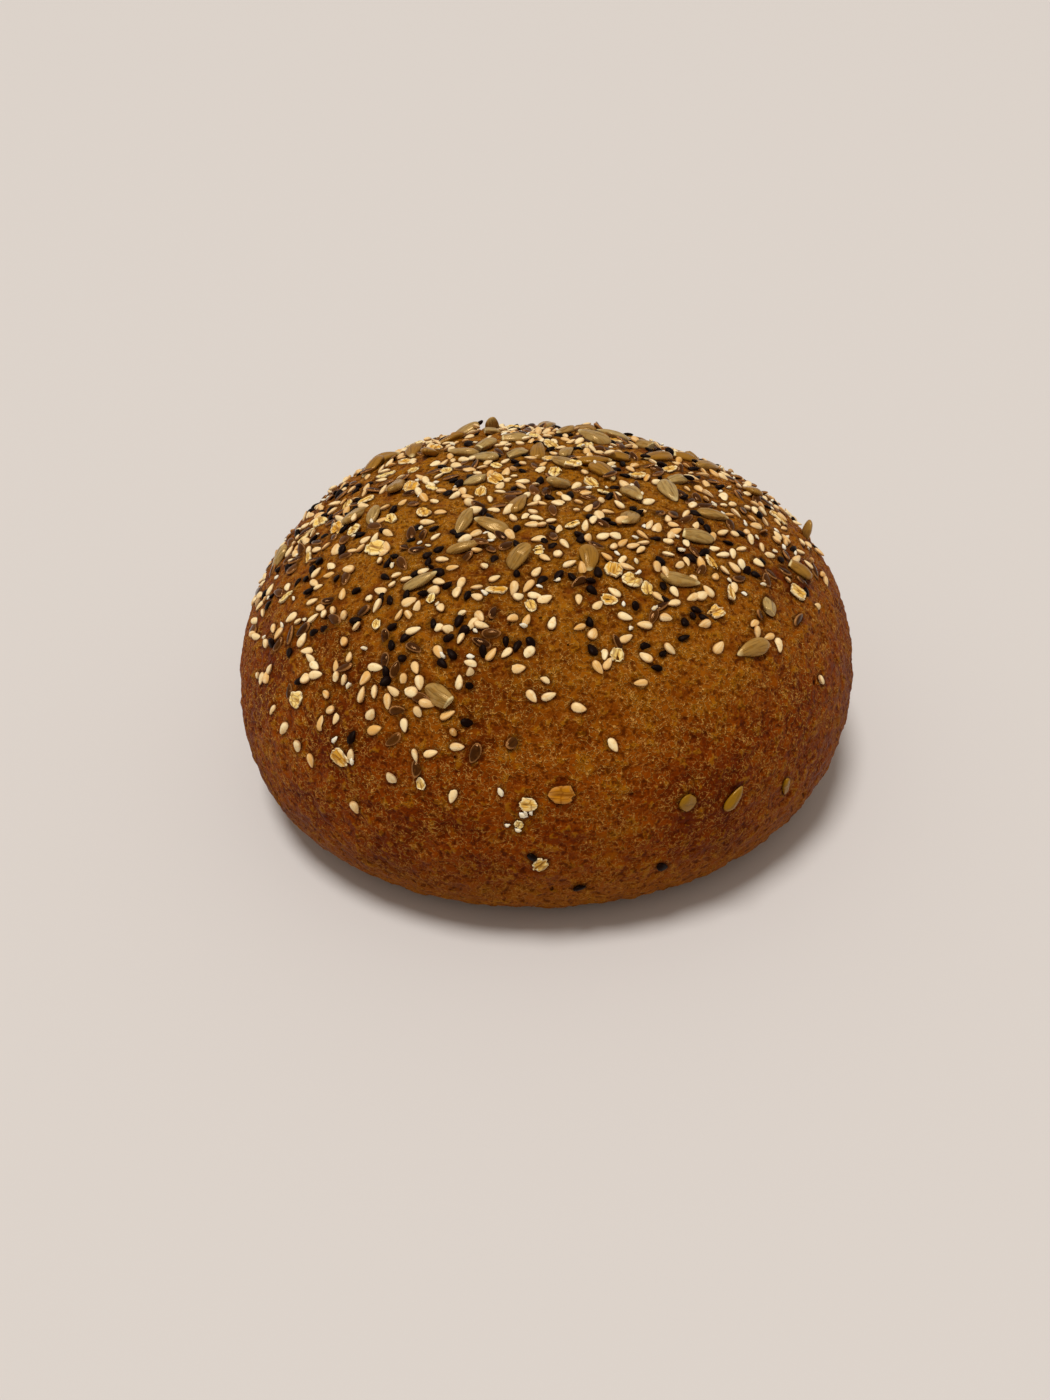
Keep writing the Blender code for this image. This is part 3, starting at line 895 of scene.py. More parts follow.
@dataclass(frozen=True)
class SeedCoat:
    """The coat of a seed or flake, from its own colours.

    Plain and toasted are the least and most browned pieces, the mark runs lengthwise, the
    edge is the colour of the rim or tip, the groove that of creases, seams and cracks, which
    it darkens as painted shade, and the glow that of its highlights. A shade from 1 to 2 is a
    piece that was kneaded in, under more and more of the crust's glaze.
    """

    name: str
    plain: str
    toasted: str
    mark: str
    edge: str
    groove: str
    roughness: float
    mark_most: float
    mark_spacing: float
    edge_from: float
    edge_most: float
    tip_only: bool
    specular: float = 0.35
    glow: str = "#f2d29a"
    glazed: str = "#93580f"
    fraying: float = 0.0
    cracking: float = 0.0
    blot_size: float = 1.1 * MM
    fibre_depth: float = 0.12 * MM
    fibre_strength: float = 0.9
    fibre_stretch: float = 0.25
    crack_stretch: float = 0.8
    crack_scale: float = 1.5
    crack_randomness: float = 0.8
    unevenness: float = 0.08
    refraction: float = 1.47
    apart: float = 97.0

    def material(self) -> bpy.types.Material:
        """Makes the material, which reads each piece's own frame and its shade."""
        made, wiring, shader = new_material(self.name)
        own = wiring.stored("own", "Vector")
        shade = wiring.stored("shade", "Fac")
        place = out(wiring.add("ShaderNodeTexCoord"), "Object")
        axes = wiring.add("ShaderNodeSeparateXYZ", {"Vector": own})
        blots = wiring.cloud(place, self.blot_size, 2.0)
        streaked = self.stretched(wiring, own, shade, self.fibre_stretch)
        fibres = wiring.cloud(streaked, self.mark_spacing)
        netted = self.stretched(wiring, own, shade, self.crack_stretch)
        net = {
            "Vector": netted, "Scale": self.crack_scale, "Randomness": self.crack_randomness
        }
        cracks = wiring.get("ShaderNodeTexVoronoi", net, feature="DISTANCE_TO_EDGE")
        layers = (
            (self.toasted, shade, 0.0, 1.0, 1.0),
            (self.mark, fibres, 0.48, 0.66, self.mark_most),
            (self.toasted, blots, 0.52, 0.66, 0.45),
            (self.edge, self.rim(wiring, axes, blots), self.edge_from, 1.0, self.edge_most),
            (self.glazed, shade, 1.0, 1.7, 0.9),
            # Painted shade: darker in the creases, seams and cracks
            (self.groove, out(axes, "Z"), 0.15, 0.9, 0.8),
            (self.groove, cracks, 0.10, 0.03, self.cracking),
        )
        smooth, rough = self.roughness - self.unevenness, self.roughness + self.unevenness
        streaks = {
            "Height": fibres, "Distance": self.fibre_depth, "Strength": self.fibre_strength
        }
        look = {
            "Base Color": wiring.layered(self.plain, layers),
            "Roughness": wiring.ramp(blots, 0.3, 0.7, smooth, rough),
            "Normal": wiring.get("ShaderNodeBump", streaks),
            "IOR": self.refraction,
            "Specular IOR Level": self.specular,
            "Specular Tint": linear(self.glow),
        }
        wiring.feed(shader, look)
        return made

    def stretched(self, wiring: Wiring, own: Socket, shade: Socket, along: float) -> Socket:
        """Coordinates drawn out along the piece, and shifted differently on each.

        Args:
            wiring: the material's wiring.
            own: the piece's own frame.
            shade: the piece's shade.
            along: what the lengthwise coordinate is multiplied by.

        Returns:
            The coordinates.
        """
        stretch = {0: own, 1: (along, 1.0, 0.0)}
        drawn = wiring.get("ShaderNodeVectorMath", stretch, operation="MULTIPLY")
        shift = {0: drawn, 1: wiring.math("MULTIPLY", shade, self.apart)}
        return wiring.get("ShaderNodeVectorMath", shift, operation="ADD")

    def rim(self, wiring: Wiring, axes: Node, blots: Socket) -> Socket:
        """How far towards the rim, or towards the tip, a place is: 1 on it.

        Args:
            wiring: the material's wiring.
            axes: the own frame's X, Y and groove.
            blots: the pattern that frays a rim.

        Returns:
            The share.
        """
        if self.tip_only:
            return out(axes, "X")
        flat = wiring.get("ShaderNodeCombineXYZ", {name: out(axes, name) for name in "XY"})
        reach = wiring.add("ShaderNodeVectorMath", {"Vector": flat}, operation="LENGTH")
        frayed = wiring.math("MULTIPLY_ADD", blots, self.fraying, out(reach, "Value"))
        return wiring.math("SUBTRACT", frayed, self.fraying / 2)


# Roasted sunflower kernel: waxy and satin, grey-olive to golden brown, with fine darker ridges
# and a pale tip
KERNEL_COAT = SeedCoat(
    "roasted_sunflower_kernel",
    plain="#b1935a", toasted="#95620a", mark="#573708", edge="#e6d096", groove="#422508",
    roughness=0.24, mark_most=0.6, mark_spacing=0.22, edge_from=0.70, edge_most=0.8,
    tip_only=True, specular=0.6, glow="#f0c888", glazed="#8c620c",
)
# Rolled oat, toasted: matte and floury, cream to golden, with pale frayed rims, and its crease and
# cracks painted amber-dark as painted shade
FLAKE_COAT = SeedCoat(
    "toasted_rolled_oat",
    plain="#f7d67c", toasted="#de9f2e", mark="#fbe7a8", edge="#fdf0c4", groove="#84480a",
    roughness=0.7, mark_most=0.7, mark_spacing=0.30, edge_from=0.70, edge_most=0.7,
    tip_only=False, specular=0.08, glazed="#b4700e", fraying=0.9, cracking=0.6,
)
# Linseed: a smooth lacquered hull, dark red-brown, with a thin light rim that is a painted
# reflection
LINSEED_COAT = SeedCoat(
    "lacquered_linseed_hull",
    plain="#2c1204", toasted="#5c330c", mark="#1b0902", edge="#b98048", groove="#1a0603",
    roughness=0.15, mark_most=0.5, mark_spacing=0.6, edge_from=0.76, edge_most=0.9,
    tip_only=False, specular=0.38, glow="#e0a468",
)
# Hulled sesame: oily satin, cream, some toasted golden, darker round the rim, partly its own rim
# line and partly painted shade where it meets the crust
PALE_SESAME_COAT = SeedCoat(
    "hulled_sesame",
    plain="#fae0aa", toasted="#e0a654", mark="#fdeec4", edge="#a46428", groove="#c8965a",
    roughness=0.40, mark_most=0.5, mark_spacing=0.7, edge_from=0.80, edge_most=0.85,
    tip_only=False, specular=0.22,
)
# Unhulled black sesame: a thin dry hull, brown-black, with a faint cast on its facets
BLACK_SESAME_COAT = SeedCoat(
    "black_sesame_hull",
    plain="#090202", toasted="#140604", mark="#120605", edge="#070202", groove="#060202",
    roughness=0.46, mark_most=0.5, mark_spacing=0.5, edge_from=0.85, edge_most=0.5,
    tip_only=True, specular=0.12, glow="#c8a890",
)
# Broken oat meal: dry, floury and nearly white
CRUMB_COAT = SeedCoat(
    "broken_oat_meal",
    plain="#f6ecd2", toasted="#e6c98e", mark="#fbf4e0", edge="#fbf6e8", groove="#d8b47c",
    roughness=0.70, mark_most=0.5, mark_spacing=0.6, edge_from=0.5, edge_most=0.5,
    tip_only=False, specular=0.2,
)


def sphere(segments: int, rings: int) -> bmesh.types.BMesh:
    """A sphere of radius 1 with its poles along X, which keeps that form as its own frame.

    Args:
        segments: faces round it.
        rings: faces from pole to pole.

    Returns:
        The sphere.
    """
    made = bmesh.new()
    bmesh.ops.create_uvsphere(made, u_segments=segments, v_segments=rings, radius=1)
    bmesh.ops.rotate(made, verts=made.verts, matrix=Matrix.Rotation(math.pi / 2, 3, "Y"))
    own = made.verts.layers.float_vector.new("own")
    for vert in made.verts:
        vert[own] = (vert.co.x, vert.co.y, 0)
    return made


def pattern_shift(draw: random.Random, axes: int) -> Vector:
    """A random place to read a pattern from, so that no two variants are alike."""
    return Vector([draw.uniform(0, PATTERN_REACH) for _ in range(axes)] + [0] * (3 - axes))


def finished(shape: bmesh.types.BMesh, name: str) -> bpy.types.Mesh:
    """Turns a shape into a smooth mesh of this name, facing outwards."""
    for face in shape.faces:
        face.smooth = True
    bmesh.ops.recalc_face_normals(shape, faces=shape.faces)
    made = bpy.data.meshes.new(name)
    shape.to_mesh(made)
    shape.free()
    return made


@dataclass(frozen=True)
class Shaper:
    """Shapes one kind's pieces, each variant a little different."""

    topping: Topping
    variants: int
    segments: int
    rings: int
    seed: int
    bends: Range = (-0.08, 0.08)
    widths: Range = (0.9, 1.08)

    def mesh(self, number: int) -> bpy.types.Mesh:
        """Makes the mesh of one variant by its number, along X at true size."""
        shape = sphere(self.segments, self.rings)
        self.shape(shape, random.Random(self.seed * MOST_VARIANTS + number))
        return finished(shape, f"{self.topping.name}_variant_{number}")

    def shape(self, shape: bmesh.types.BMesh, draw: random.Random) -> None:
        """Shapes a flat drop, as sesame and linseed have.

        Args:
            shape: the sphere to shape.
            draw: the variant's random draws.
        """
        kind = self.topping
        bend = draw.uniform(*self.bends)
        wide = draw.uniform(*self.widths)
        for vert in shape.verts:
            x, y, z = vert.co
            share = kind.narrowing(x / 2)
            vert.co = (
                x * kind.length / 2,
                y * kind.width / 2 * share * wide + bend * x * x * kind.width,
                z * kind.thickness / 2 * share,
            )


@dataclass(frozen=True)
class KernelShaper(Shaper):
    """Shapes hulled sunflower kernels: plump, flat-sided, with a seam and some broken ends."""

    bends: Range = (-0.09, 0.09)
    widths: Range = (0.86, 1.12)
    ridges: int = 5
    ridge: float = 0.07
    lump: float = 0.10
    lump_detail: tuple[float, float, float] = (1.6, 1.8, 1.8)
    seam_slants: Range = (-0.25, 0.25)
    seam_width: float = 0.13
    seam_depth: float = 0.14
    seam_shade: float = 0.6
    belly: float = 0.85
    broken_share: float = 0.3
    breaks: Range = (0.3, 0.65)
    break_slant: Range = (0.10, 0.05)
    facets: int = 4
    facet_lean: float = 0.7
    facet_reach: Range = (0.72, 0.9)
    facet_press: float = 0.85

    def shape(self, shape: bmesh.types.BMesh, draw: random.Random) -> None:
        """Shapes a kernel.

        Args:
            shape: the sphere to shape.
            draw: the variant's random draws.
        """
        kind = self.topping
        own = shape.verts.layers.float_vector["own"]
        bend = draw.uniform(*self.bends)
        wide = draw.uniform(*self.widths)
        turn = draw.uniform(0, math.tau)
        seam = draw.uniform(*self.seam_slants)
        shift = pattern_shift(draw, 1)
        cut = draw.uniform(*self.breaks) if draw.random() < self.broken_share else 1.0
        for _ in range(self.facets):
            lean = draw.uniform(-self.facet_lean, self.facet_lean)
            facing = Vector((lean, draw.gauss(0, 1), draw.gauss(0, 1)))
            self.press(shape, facing.normalized(), draw.uniform(*self.facet_reach))
        for vert in shape.verts:
            x, y, z = vert.co
            inner = 1 - x * x
            body = 1 + self.ridge * math.cos(self.ridges * math.atan2(z, y) + turn) * inner
            spot = Vector([step * size for step, size in zip(vert.co, self.lump_detail)])
            body += self.lump * noise.noise(spot + shift)
            groove = math.exp(-(((y - seam * x) / self.seam_width) ** 2)) * inner * (z > 0)
            share = kind.narrowing(x / 2) * body
            top = z * (1 - self.seam_depth * groove) if z > 0 else z * self.belly
            clipped = min(x, cut + self.break_slant[0] * y + self.break_slant[1] * z)
            vert.co = (
                clipped * kind.length / 2,
                y * kind.width / 2 * share * wide + bend * x * x * kind.width,
                top * kind.thickness / 2 * share,
            )
            vert[own] = (x if cut == 1.0 or x < cut else 1.0, y, groove * self.seam_shade)

    def press(self, shape: bmesh.types.BMesh, facing: Vector, reach: float) -> None:
        """Presses a flat facet into the sphere, as its neighbours do to a kernel in the head.

        Args:
            shape: the sphere.
            facing: the facet's direction.
            reach: how far from the middle it lies.
        """
        for vert in shape.verts:
            over = vert.co.dot(facing) - reach
            if over > 0:
                vert.co -= facing * over * self.facet_press


@dataclass(frozen=True)
class FlakeShaper(Shaper):
    """Shapes rolled oats: thin, ragged, creased plates, curled, cracked or torn in half."""

    widths: Range = (0.9, 1.05)
    lengths: Range = (0.94, 1.04)
    ragged: float = 0.12
    ragged_detail: float = 1.3
    frayed: float = 0.4
    frayed_detail: float = 5
    crease: float = 0.55
    crease_slants: Range = (-0.35, 0.35)
    crease_width: float = 0.14
    curl: float = 0.6
    curls: Range = (-0.4, 1.0)
    curl_across: float = 0.5
    curl_level: float = 0.3
    bump: float = 0.5
    bump_detail: float = 2.4
    crack_count: int = 2
    crack_depths: Range = (0.05, 0.22)
    crack_width: float = 0.08
    torn_share: float = 0.3
    tears: Range = (0.2, 0.6)
    tear_jag: float = 0.3
    tear_detail: float = 3
    tear_bow: float = 0.2
    tear_slope: float = 0.2
    torn_rim: float = 0.9
    edge_fullness: float = 0.6
    edge_thickness: float = 0.75

    def shape(self, shape: bmesh.types.BMesh, draw: random.Random) -> None:
        """Shapes a flake.

        Args:
            shape: the sphere to shape.
            draw: the variant's random draws.
        """
        kind = self.topping
        own = shape.verts.layers.float_vector["own"]
        shift = pattern_shift(draw, 2)
        curl = draw.uniform(*self.curls) * self.curl
        wide = draw.uniform(*self.widths)
        long = draw.uniform(*self.lengths)
        cracks = [
            (draw.uniform(0, math.tau), draw.uniform(*self.crack_depths))
            for _ in range(self.crack_count)
        ]
        slant = draw.uniform(*self.crease_slants)
        ends = [
            draw.uniform(*self.tears) if draw.random() < self.torn_share else WHOLE
            for _ in range(2)
        ]
        for vert in shape.verts:
            x, y, z = vert.co
            reach = math.hypot(x, y)
            angle = math.atan2(y, x)
            around = Vector((math.cos(angle), math.sin(angle), 0))
            edge = 1 + self.ragged * noise.noise(around * self.ragged_detail + shift)
            fringe = noise.noise(around * self.frayed_detail + shift)
            edge += self.ragged * self.frayed * fringe * reach
            for middle, depth in cracks:
                off = math.remainder(angle - middle, math.tau)
                edge -= depth * math.exp(-((off / self.crack_width) ** 2)) * reach**3
            groove = math.exp(-(((y - slant * x) / self.crease_width) ** 2)) * (1 - reach**4)
            spot = Vector((y * self.tear_detail, self.tear_detail, 0))
            jag = self.tear_jag * noise.noise(spot + shift)
            jag -= self.tear_bow * y * y
            torn_x = max(min(x, ends[0] + jag), -ends[1] - jag)
            flat_x = torn_x + self.tear_slope * (x - torn_x)
            spot = Vector((x * self.bump_detail, y * self.bump_detail, 0))
            lift = curl * (x * x - self.curl_level)
            lift += self.curl_across * curl * (y * y - self.curl_level)
            lift += self.bump * noise.noise(spot + shift)
            lift -= self.crease * groove if z > 0 else 0
            thick = math.copysign(abs(z) ** self.edge_fullness, z)
            vert.co = (
                flat_x * edge * long * kind.length / 2,
                y * edge * wide * kind.width / 2,
                (thick * self.edge_thickness + lift) * kind.thickness / 2,
            )
            vert[own] = (x if x == torn_x else self.torn_rim, y, groove)


@dataclass(frozen=True)
class CrumbShaper(Shaper):
    """Shapes crumbs of oat meal: small broken chips."""

    rough: float = 0.6
    rough_detail: float = 1.7

    def shape(self, shape: bmesh.types.BMesh, draw: random.Random) -> None:
        """Shapes a crumb.

        Args:
            shape: the sphere to shape.
            draw: the variant's random draws.
        """
        kind = self.topping
        shift = pattern_shift(draw, 2)
        for vert in shape.verts:
            rough = 1 + self.rough * noise.noise(vert.co * self.rough_detail + shift)
            sizes = (kind.length, kind.width, kind.thickness)
            vert.co = [step * rough * size / 2 for step, size in zip(vert.co, sizes)]


@cache
def strewing_tree() -> bpy.types.NodeTree:
    """The Geometry Nodes tree that lays a random variant on each point, turned and sized."""
    inputs = {
        "Variants": ("NodeSocketCollection", None),
        "Variant Seed": ("NodeSocketInt", 3),
        "Finish": ("NodeSocketMaterial", None),
    }
    wiring, given = new_tree("strewn_on_crust", inputs)
    stock = {
        "Collection": out(given, "Variants"), "Separate Children": True, "Reset Children": True
    }
    lot = {"Min": 0, "Max": MOST_VARIANTS - 1, "Seed": out(given, "Variant Seed")}
    turn, size = (
        wiring.get("GeometryNodeInputNamedAttribute", {"Name": name}, data_type="FLOAT_VECTOR")
        for name in ("turn", "size")
    )
    laid = {
        "Points": out(given, "Geometry"),
        "Instance": wiring.get("GeometryNodeCollectionInfo", stock),
        "Pick Instance": True,
        "Instance Index": wiring.get("FunctionNodeRandomValue", lot, data_type="INT"),
        "Rotation": turn,
        "Scale": size,
    }
    return wiring.close(wiring.get("GeometryNodeInstanceOnPoints", laid), out(given, "Finish"))


def bake_modifiers(obj: bpy.types.Object) -> None:
    """Turns an object's evaluated form into its plain mesh, and removes its modifiers."""
    graph = bpy.context.evaluated_depsgraph_get()
    mesh = bpy.data.meshes.new_from_object(obj.evaluated_get(graph), depsgraph=graph)
    obj.modifiers.clear()
    obj.data = mesh


def declare(obj: bpy.types.Object) -> bpy.types.Object:
    """Makes a piece ride on the loaf's body."""
    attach(obj, "root")
    return obj


@dataclass
class Strewn:
    """All the pieces of one kind, as one mesh on the crust."""

    name: str
    slot: Slot
    coat: SeedCoat
    shaper: Shaper
    pieces: list[Lain]
    form: LoafForm
    seed: int = 3
    browning: float = 1.4
    glazing: float = 1.7

    def build(self) -> bpy.types.Object:
        stock = self.variants()
        obj = add_object(self.name, self.points())
        strew = obj.modifiers.new("strewn", "NODES")
        strew.node_group = strewing_tree()
        finish = self.coat.material()
        settle_inputs(strew, {"Variants": stock, "Variant Seed": self.seed, "Finish": finish})
        bake_modifiers(obj)
        for variant in list(stock.objects):
            bpy.data.objects.remove(variant)
        bpy.data.collections.remove(stock)
        return declare(obj)

    def variants(self) -> bpy.types.Collection:
        """One object for each variant of the kind, in a collection of their own."""
        stock = bpy.data.collections.new(f"{self.name}_variants")
        bpy.context.scene.collection.children.link(stock)
        for number in range(self.shaper.variants):
            mesh = self.shaper.mesh(number)
            stock.objects.link(bpy.data.objects.new(mesh.name, mesh))
        return stock

    def shades(self) -> list[float]:
        """How browned each piece is: 0 to 1 toasted, and up to 2 where it was kneaded in."""
        draw = random.Random(self.seed)
        shades = [draw.random() ** self.browning for _ in self.pieces]
        kind = self.shaper.topping
        if kind in LARGE:
            placed = len(PLACED[kind])
            shades[:placed] = [number / placed for number in range(placed)]
            shades[placed - KNEADED[kind] : placed] = [self.glazing] * KNEADED[kind]
        return shades

    def points(self) -> bpy.types.Mesh:
        """A point for each piece, which keeps its turn, size and shade."""
        places = [piece.place(self.form).decompose() for piece in self.pieces]
        mesh = bpy.data.meshes.new(self.name)
        mesh.from_pydata([spot for spot, _, _ in places], [], [])
        stored = (
            ("turn", "FLOAT_VECTOR", [step for _, turn, _ in places for step in turn.to_euler()]),
            ("size", "FLOAT_VECTOR", [step for _, _, size in places for step in size]),
            ("shade", "FLOAT", self.shades()),
        )
        for name, kind, values in stored:
            part = "vector" if kind == "FLOAT_VECTOR" else "value"
            mesh.attributes.new(name, kind, "POINT").data.foreach_set(part, values)
        return mesh


@dataclass
class Crust:
    """The bread: a cube's top, sides and base carried to the crown, flank and foot."""

    form: LoafForm
    strewn: list[bpy.types.Object]
    finish: GlazedCrust = field(default_factory=GlazedCrust)
    cage_cuts: int = 31
    smooth_levels: int = 2
    crown_arc: float = 48 * MM
    blister_size: float = 7 * MM
    blister_height: float = 0.45 * MM
    grain_size: float = 2.4 * MM
    grain_height: float = 0.38 * MM
    cloud_detail: float = 2.0
    cloud_range: Range = (0.25, 0.75)
    pit_spacing: float = 6.5 * MM
    pit_depth: float = 0.7 * MM
    pit_walls: Range = (0.05, 0.22)
    pit_share: Range = (0.55, 0.95)
    still_height: float = 0.5 * MM
    calm_height: float = 4 * MM

    def build(self) -> bpy.types.Object:
        """Builds the crust on the loaf's body, and hides the loaf's solid, for which it stands."""
        obj = add_object("crust", self.cage())
        smooth = obj.modifiers.new("smooth", "SUBSURF")
        smooth.levels = self.smooth_levels
        smooth.render_levels = self.smooth_levels
        relief = obj.modifiers.new("relief", "NODES")
        relief.node_group = self.relief_tree()
        seeds = bpy.data.collections.new("baked_on")
        for piece in self.strewn:
            seeds.objects.link(piece)
        settle_inputs(relief, {"Seeds": seeds, "Finish": self.finish.material()})
        bake_modifiers(obj)
        bpy.data.collections.remove(seeds)
        declare(obj)
        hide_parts("loaf")
        return obj

    def cage(self) -> bpy.types.Mesh:
        """The coarse cage on the loaf's form."""
        cage = bmesh.new()
        bmesh.ops.create_cube(cage, size=2)
        bmesh.ops.subdivide_edges(cage, edges=cage.edges, cuts=self.cage_cuts, use_grid_fill=True)
        for vert in cage.verts:
            vert.co = self.carried(vert.co)
        return finished(cage, "crust")

    def carried(self, spot: Vector) -> Vector:
        """Carries a point of the cube's surface, each coordinate from -1 to 1, to the loaf."""
        reach = max(abs(spot.x), abs(spot.y))
        if reach < CLOSE:
            azimuth = 0.0
        elif abs(spot.x) >= abs(spot.y):
            azimuth = math.pi / 4 * spot.y / spot.x + (math.pi if spot.x < 0 else 0)
        else:
            azimuth = math.pi / 2 - math.pi / 4 * spot.x / spot.y + (math.pi if spot.y < 0 else 0)
        azimuth = math.remainder(azimuth, math.tau)
        if spot.z > 1 - CLOSE:
            return self.form.point(azimuth, self.crown_arc * reach)
        edge = self.form.full_arc
        if spot.z < -1 + CLOSE:
            return self.form.smooth_point(azimuth, edge) * reach
        share = (1 - spot.z) / 2
        return self.form.point(azimuth, self.crown_arc + share * (edge - self.crown_arc))

    def relief_tree(self) -> bpy.types.NodeTree:
        """The Geometry Nodes tree of the crust's relief.

        It raises blisters and grain, sinks pits, and stores how far the seeds are away.

        Returns:
            The tree.
        """
        measures = {
            "Blister Size": self.blister_size,
            "Blister Height": self.blister_height,
            "Grain Size": self.grain_size,
            "Grain Height": self.grain_height,
            "Pit Spacing": self.pit_spacing,
            "Pit Depth": self.pit_depth,
            "Calm Height": self.calm_height,
        }
        inputs = {name: ("NodeSocketFloat", value) for name, value in measures.items()}
        inputs["Seeds"] = ("NodeSocketCollection", None)
        inputs["Finish"] = ("NodeSocketMaterial", None)
        wiring, given = new_tree("baked_crust_relief", inputs)
        spot = wiring.get("GeometryNodeInputPosition")
        lift = 0.0
        for name in ("Blister", "Grain"):
            scale = wiring.math("DIVIDE", 1.0, out(given, f"{name} Size"))
            look = {"Vector": spot, "Scale": scale, "Detail": self.cloud_detail}
            centred = wiring.ramp(wiring.get("ShaderNodeTexNoise", look), *self.cloud_range, -1.0)
            lift = wiring.math("MULTIPLY_ADD", centred, out(given, f"{name} Height"), lift)
        lift = self.with_pits(wiring, given, spot, lift)
        height = out(wiring.add("ShaderNodeSeparateXYZ", {"Vector": spot}), "Z")
        calm = wiring.ramp(height, self.still_height, out(given, "Calm Height"))
        rise = {
            "Vector": wiring.get("GeometryNodeInputNormal"),
            "Scale": wiring.math("MULTIPLY", lift, calm),
        }
        offset = wiring.get("ShaderNodeVectorMath", rise, operation="SCALE")
        move = {"Geometry": out(given, "Geometry"), "Offset": offset}
        moved = wiring.get("GeometryNodeSetPosition", move)
        seeds = wiring.get("GeometryNodeCollectionInfo", {"Collection": out(given, "Seeds")})
        seeds = wiring.get("GeometryNodeRealizeInstances", {"Geometry": seeds})
        near = out(wiring.add("GeometryNodeProximity", {"Geometry": seeds}), "Distance")
        mark = {"Geometry": moved, "Name": "clearance", "Value": near}
        marked = wiring.get("GeometryNodeStoreNamedAttribute", mark)
        return wiring.close(marked, out(given, "Finish"))

    def with_pits(self, wiring: Wiring, given: Node, spot: Socket, lift: Socket) -> Socket:
        """Sinks small round pits into a height.

        Args:
            wiring: the relief tree's wiring.
            given: the tree's inputs.
            spot: the position.
            lift: the height without pits.

        Returns:
            The height with them.
        """
        scale = wiring.math("DIVIDE", 1.0, out(given, "Pit Spacing"))
        cells = wiring.add("ShaderNodeTexVoronoi", {"Vector": spot, "Scale": scale})
        walls = (out(cells, "Distance"), *self.pit_walls, -1.0, 0.0)
        bowl = wiring.ramp(*walls, interpolation_type="SMOOTHSTEP")
        deep = wiring.math("MULTIPLY", bowl, out(given, "Pit Depth"))
        lot = wiring.get("FunctionNodeSeparateColor", {"Color": out(cells, "Color")})
        return wiring.math("MULTIPLY_ADD", deep, wiring.ramp(lot, *self.pit_share), lift)


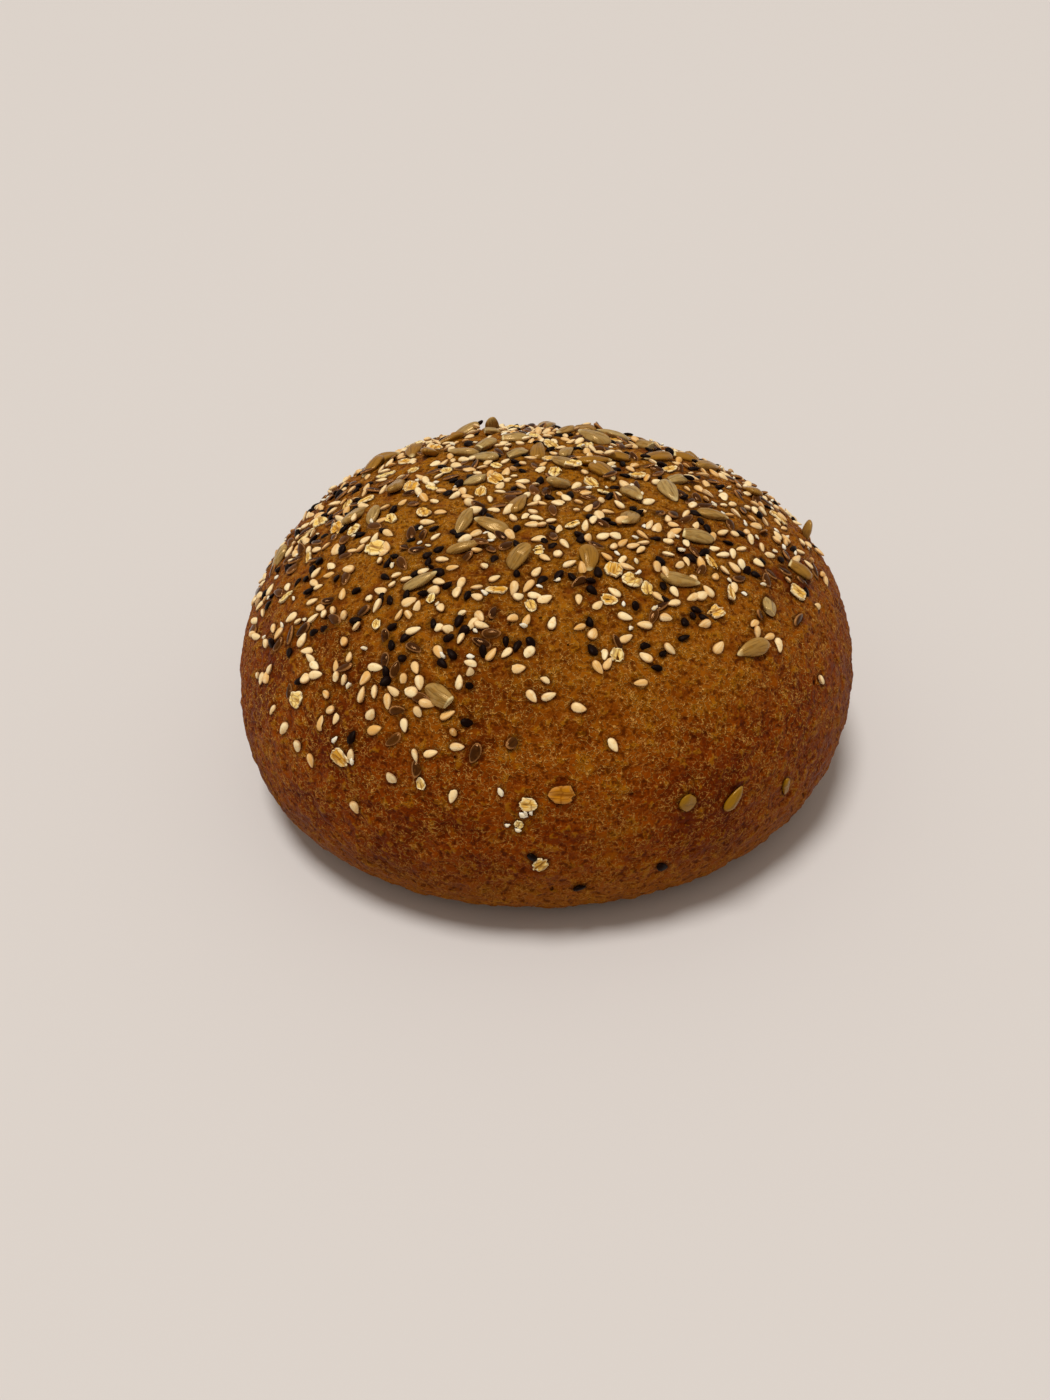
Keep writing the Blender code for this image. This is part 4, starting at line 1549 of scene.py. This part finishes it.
@dataclass(frozen=True)
class Studio:
    """A plain pale floor, soft light from above and the camera."""

    floor_size: float = 14.0
    floor_colour: str = "#d2ccc7"
    floor_roughness: float = 0.85
    eye: tuple[float, float, float] = (-5.44 * MM, -266.6 * MM, 204.9 * MM)
    pitch: float = 36.56
    roll: float = -1.55
    focal_length: float = 28.2
    near_limit: float = 0.01
    key_strength: float = 2.2
    key_spread: float = 18
    key_direction: tuple[float, float, float] = (-0.14, -0.04, 0.99)
    sky: str = "#f7ece0"
    sky_strength: float = 0.46
    backdrop: str = "#ddd4ca"

    def build(self) -> None:
        """Makes the floor, the lights and the camera, and shows colours as they are."""
        bpy.context.scene.view_settings.view_transform = "Standard"
        self.floor()
        self.lights()
        self.sky_and_backdrop()
        self.camera()

    def floor(self) -> None:
        """A wide matte floor."""
        shape = bmesh.new()
        bmesh.ops.create_grid(shape, x_segments=1, y_segments=1, size=self.floor_size / 2)
        mesh = bpy.data.meshes.new("floor")
        shape.to_mesh(mesh)
        shape.free()
        painted, wiring, shader = new_material("matte_painted_floor")
        paint = {"Base Color": linear(self.floor_colour), "Roughness": self.floor_roughness}
        wiring.feed(shader, paint)
        mesh.materials.append(painted)
        obj = add_object("floor", mesh)

    def lights(self) -> None:
        """A soft light from above, a little to the left."""
        lamp = bpy.data.lights.new("softbox", "SUN")
        lamp.angle = math.radians(self.key_spread)
        lamp.energy = self.key_strength
        obj = add_object("softbox", lamp)
        obj.rotation_euler = (-Vector(self.key_direction)).to_track_quat("-Z", "Y").to_euler()

    def sky_and_backdrop(self) -> None:
        """An even sky, in front of which low views see a backdrop as pale as the floor."""
        world = bpy.data.worlds.new("pale_room")
        world.use_nodes = True
        wiring = Wiring(world.node_tree)
        lit = world.node_tree.nodes["Background"]
        wiring.feed(lit, {"Color": linear(self.sky), "Strength": self.sky_strength})
        seen = wiring.get("ShaderNodeBackground", {"Color": linear(self.backdrop)})
        straight = out(wiring.add("ShaderNodeLightPath"), "Is Camera Ray")
        both = wiring.get("ShaderNodeMixShader", {0: straight, 1: out(lit), 2: seen})
        wiring.feed(world.node_tree.nodes["World Output"], {"Surface": both})
        bpy.context.scene.world = world

    def camera(self) -> None:
        """The camera, at the photograph's angle."""
        pitch = math.radians(self.pitch)
        roll = math.radians(self.roll)
        ahead = Vector((0, math.cos(pitch), -math.sin(pitch)))
        level = Vector((1, 0, 0))
        above = Vector((0, math.sin(pitch), math.cos(pitch)))
        right = math.cos(roll) * level + math.sin(roll) * above
        top = -math.sin(roll) * level + math.cos(roll) * above
        lens = bpy.data.cameras.new("camera")
        lens.lens = self.focal_length
        lens.clip_start = self.near_limit
        obj = add_object("camera", lens)
        facing = Matrix((right, top, -ahead)).transposed()
        obj.matrix_world = Matrix.Translation(Vector(self.eye)) @ facing.to_4x4()
        bpy.context.scene.camera = obj


# Each kind's piece, slot and coat, and its shaper: variants, faces round and along, and seed
KINDS = (
    ("sunflower_kernels", Slot.KERNEL, KERNEL_COAT, KernelShaper(KERNEL, 12, 26, 18, 1)),
    ("oat_flakes", Slot.FLAKE, FLAKE_COAT, FlakeShaper(FLAKE, 10, 20, 22, 2)),
    ("linseed", Slot.LINSEED, LINSEED_COAT, Shaper(LINSEED, 4, 10, 7, 3)),
    ("black_sesame", Slot.BLACK_SESAME, BLACK_SESAME_COAT, Shaper(BLACK_SESAME, 4, 8, 6, 4)),
    ("pale_sesame", Slot.PALE_SESAME, PALE_SESAME_COAT, Shaper(PALE_SESAME, 5, 8, 6, 5)),
    ("oat_crumbs", Slot.FLAKE, CRUMB_COAT, CrumbShaper(CRUMB, 6, 6, 5, 6)),
)


def main() -> None:
    """Builds the loaf and its studio."""
    logging.basicConfig(level=logging.INFO, format="%(message)s")
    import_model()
    form = LoafForm()
    sprinkling = Sprinkling(form)
    strewn = [
        Strewn(name, slot, coat, shaper, sprinkling.of_kind(shaper.topping), form).build()
        for name, slot, coat, shaper in KINDS
    ]
    for piece in (*strewn, Crust(form, strewn).build()):
        LOG.info("%s: %d faces", piece.name, len(piece.data.polygons))
    Studio().build()


if __name__ == "__main__":
    main()
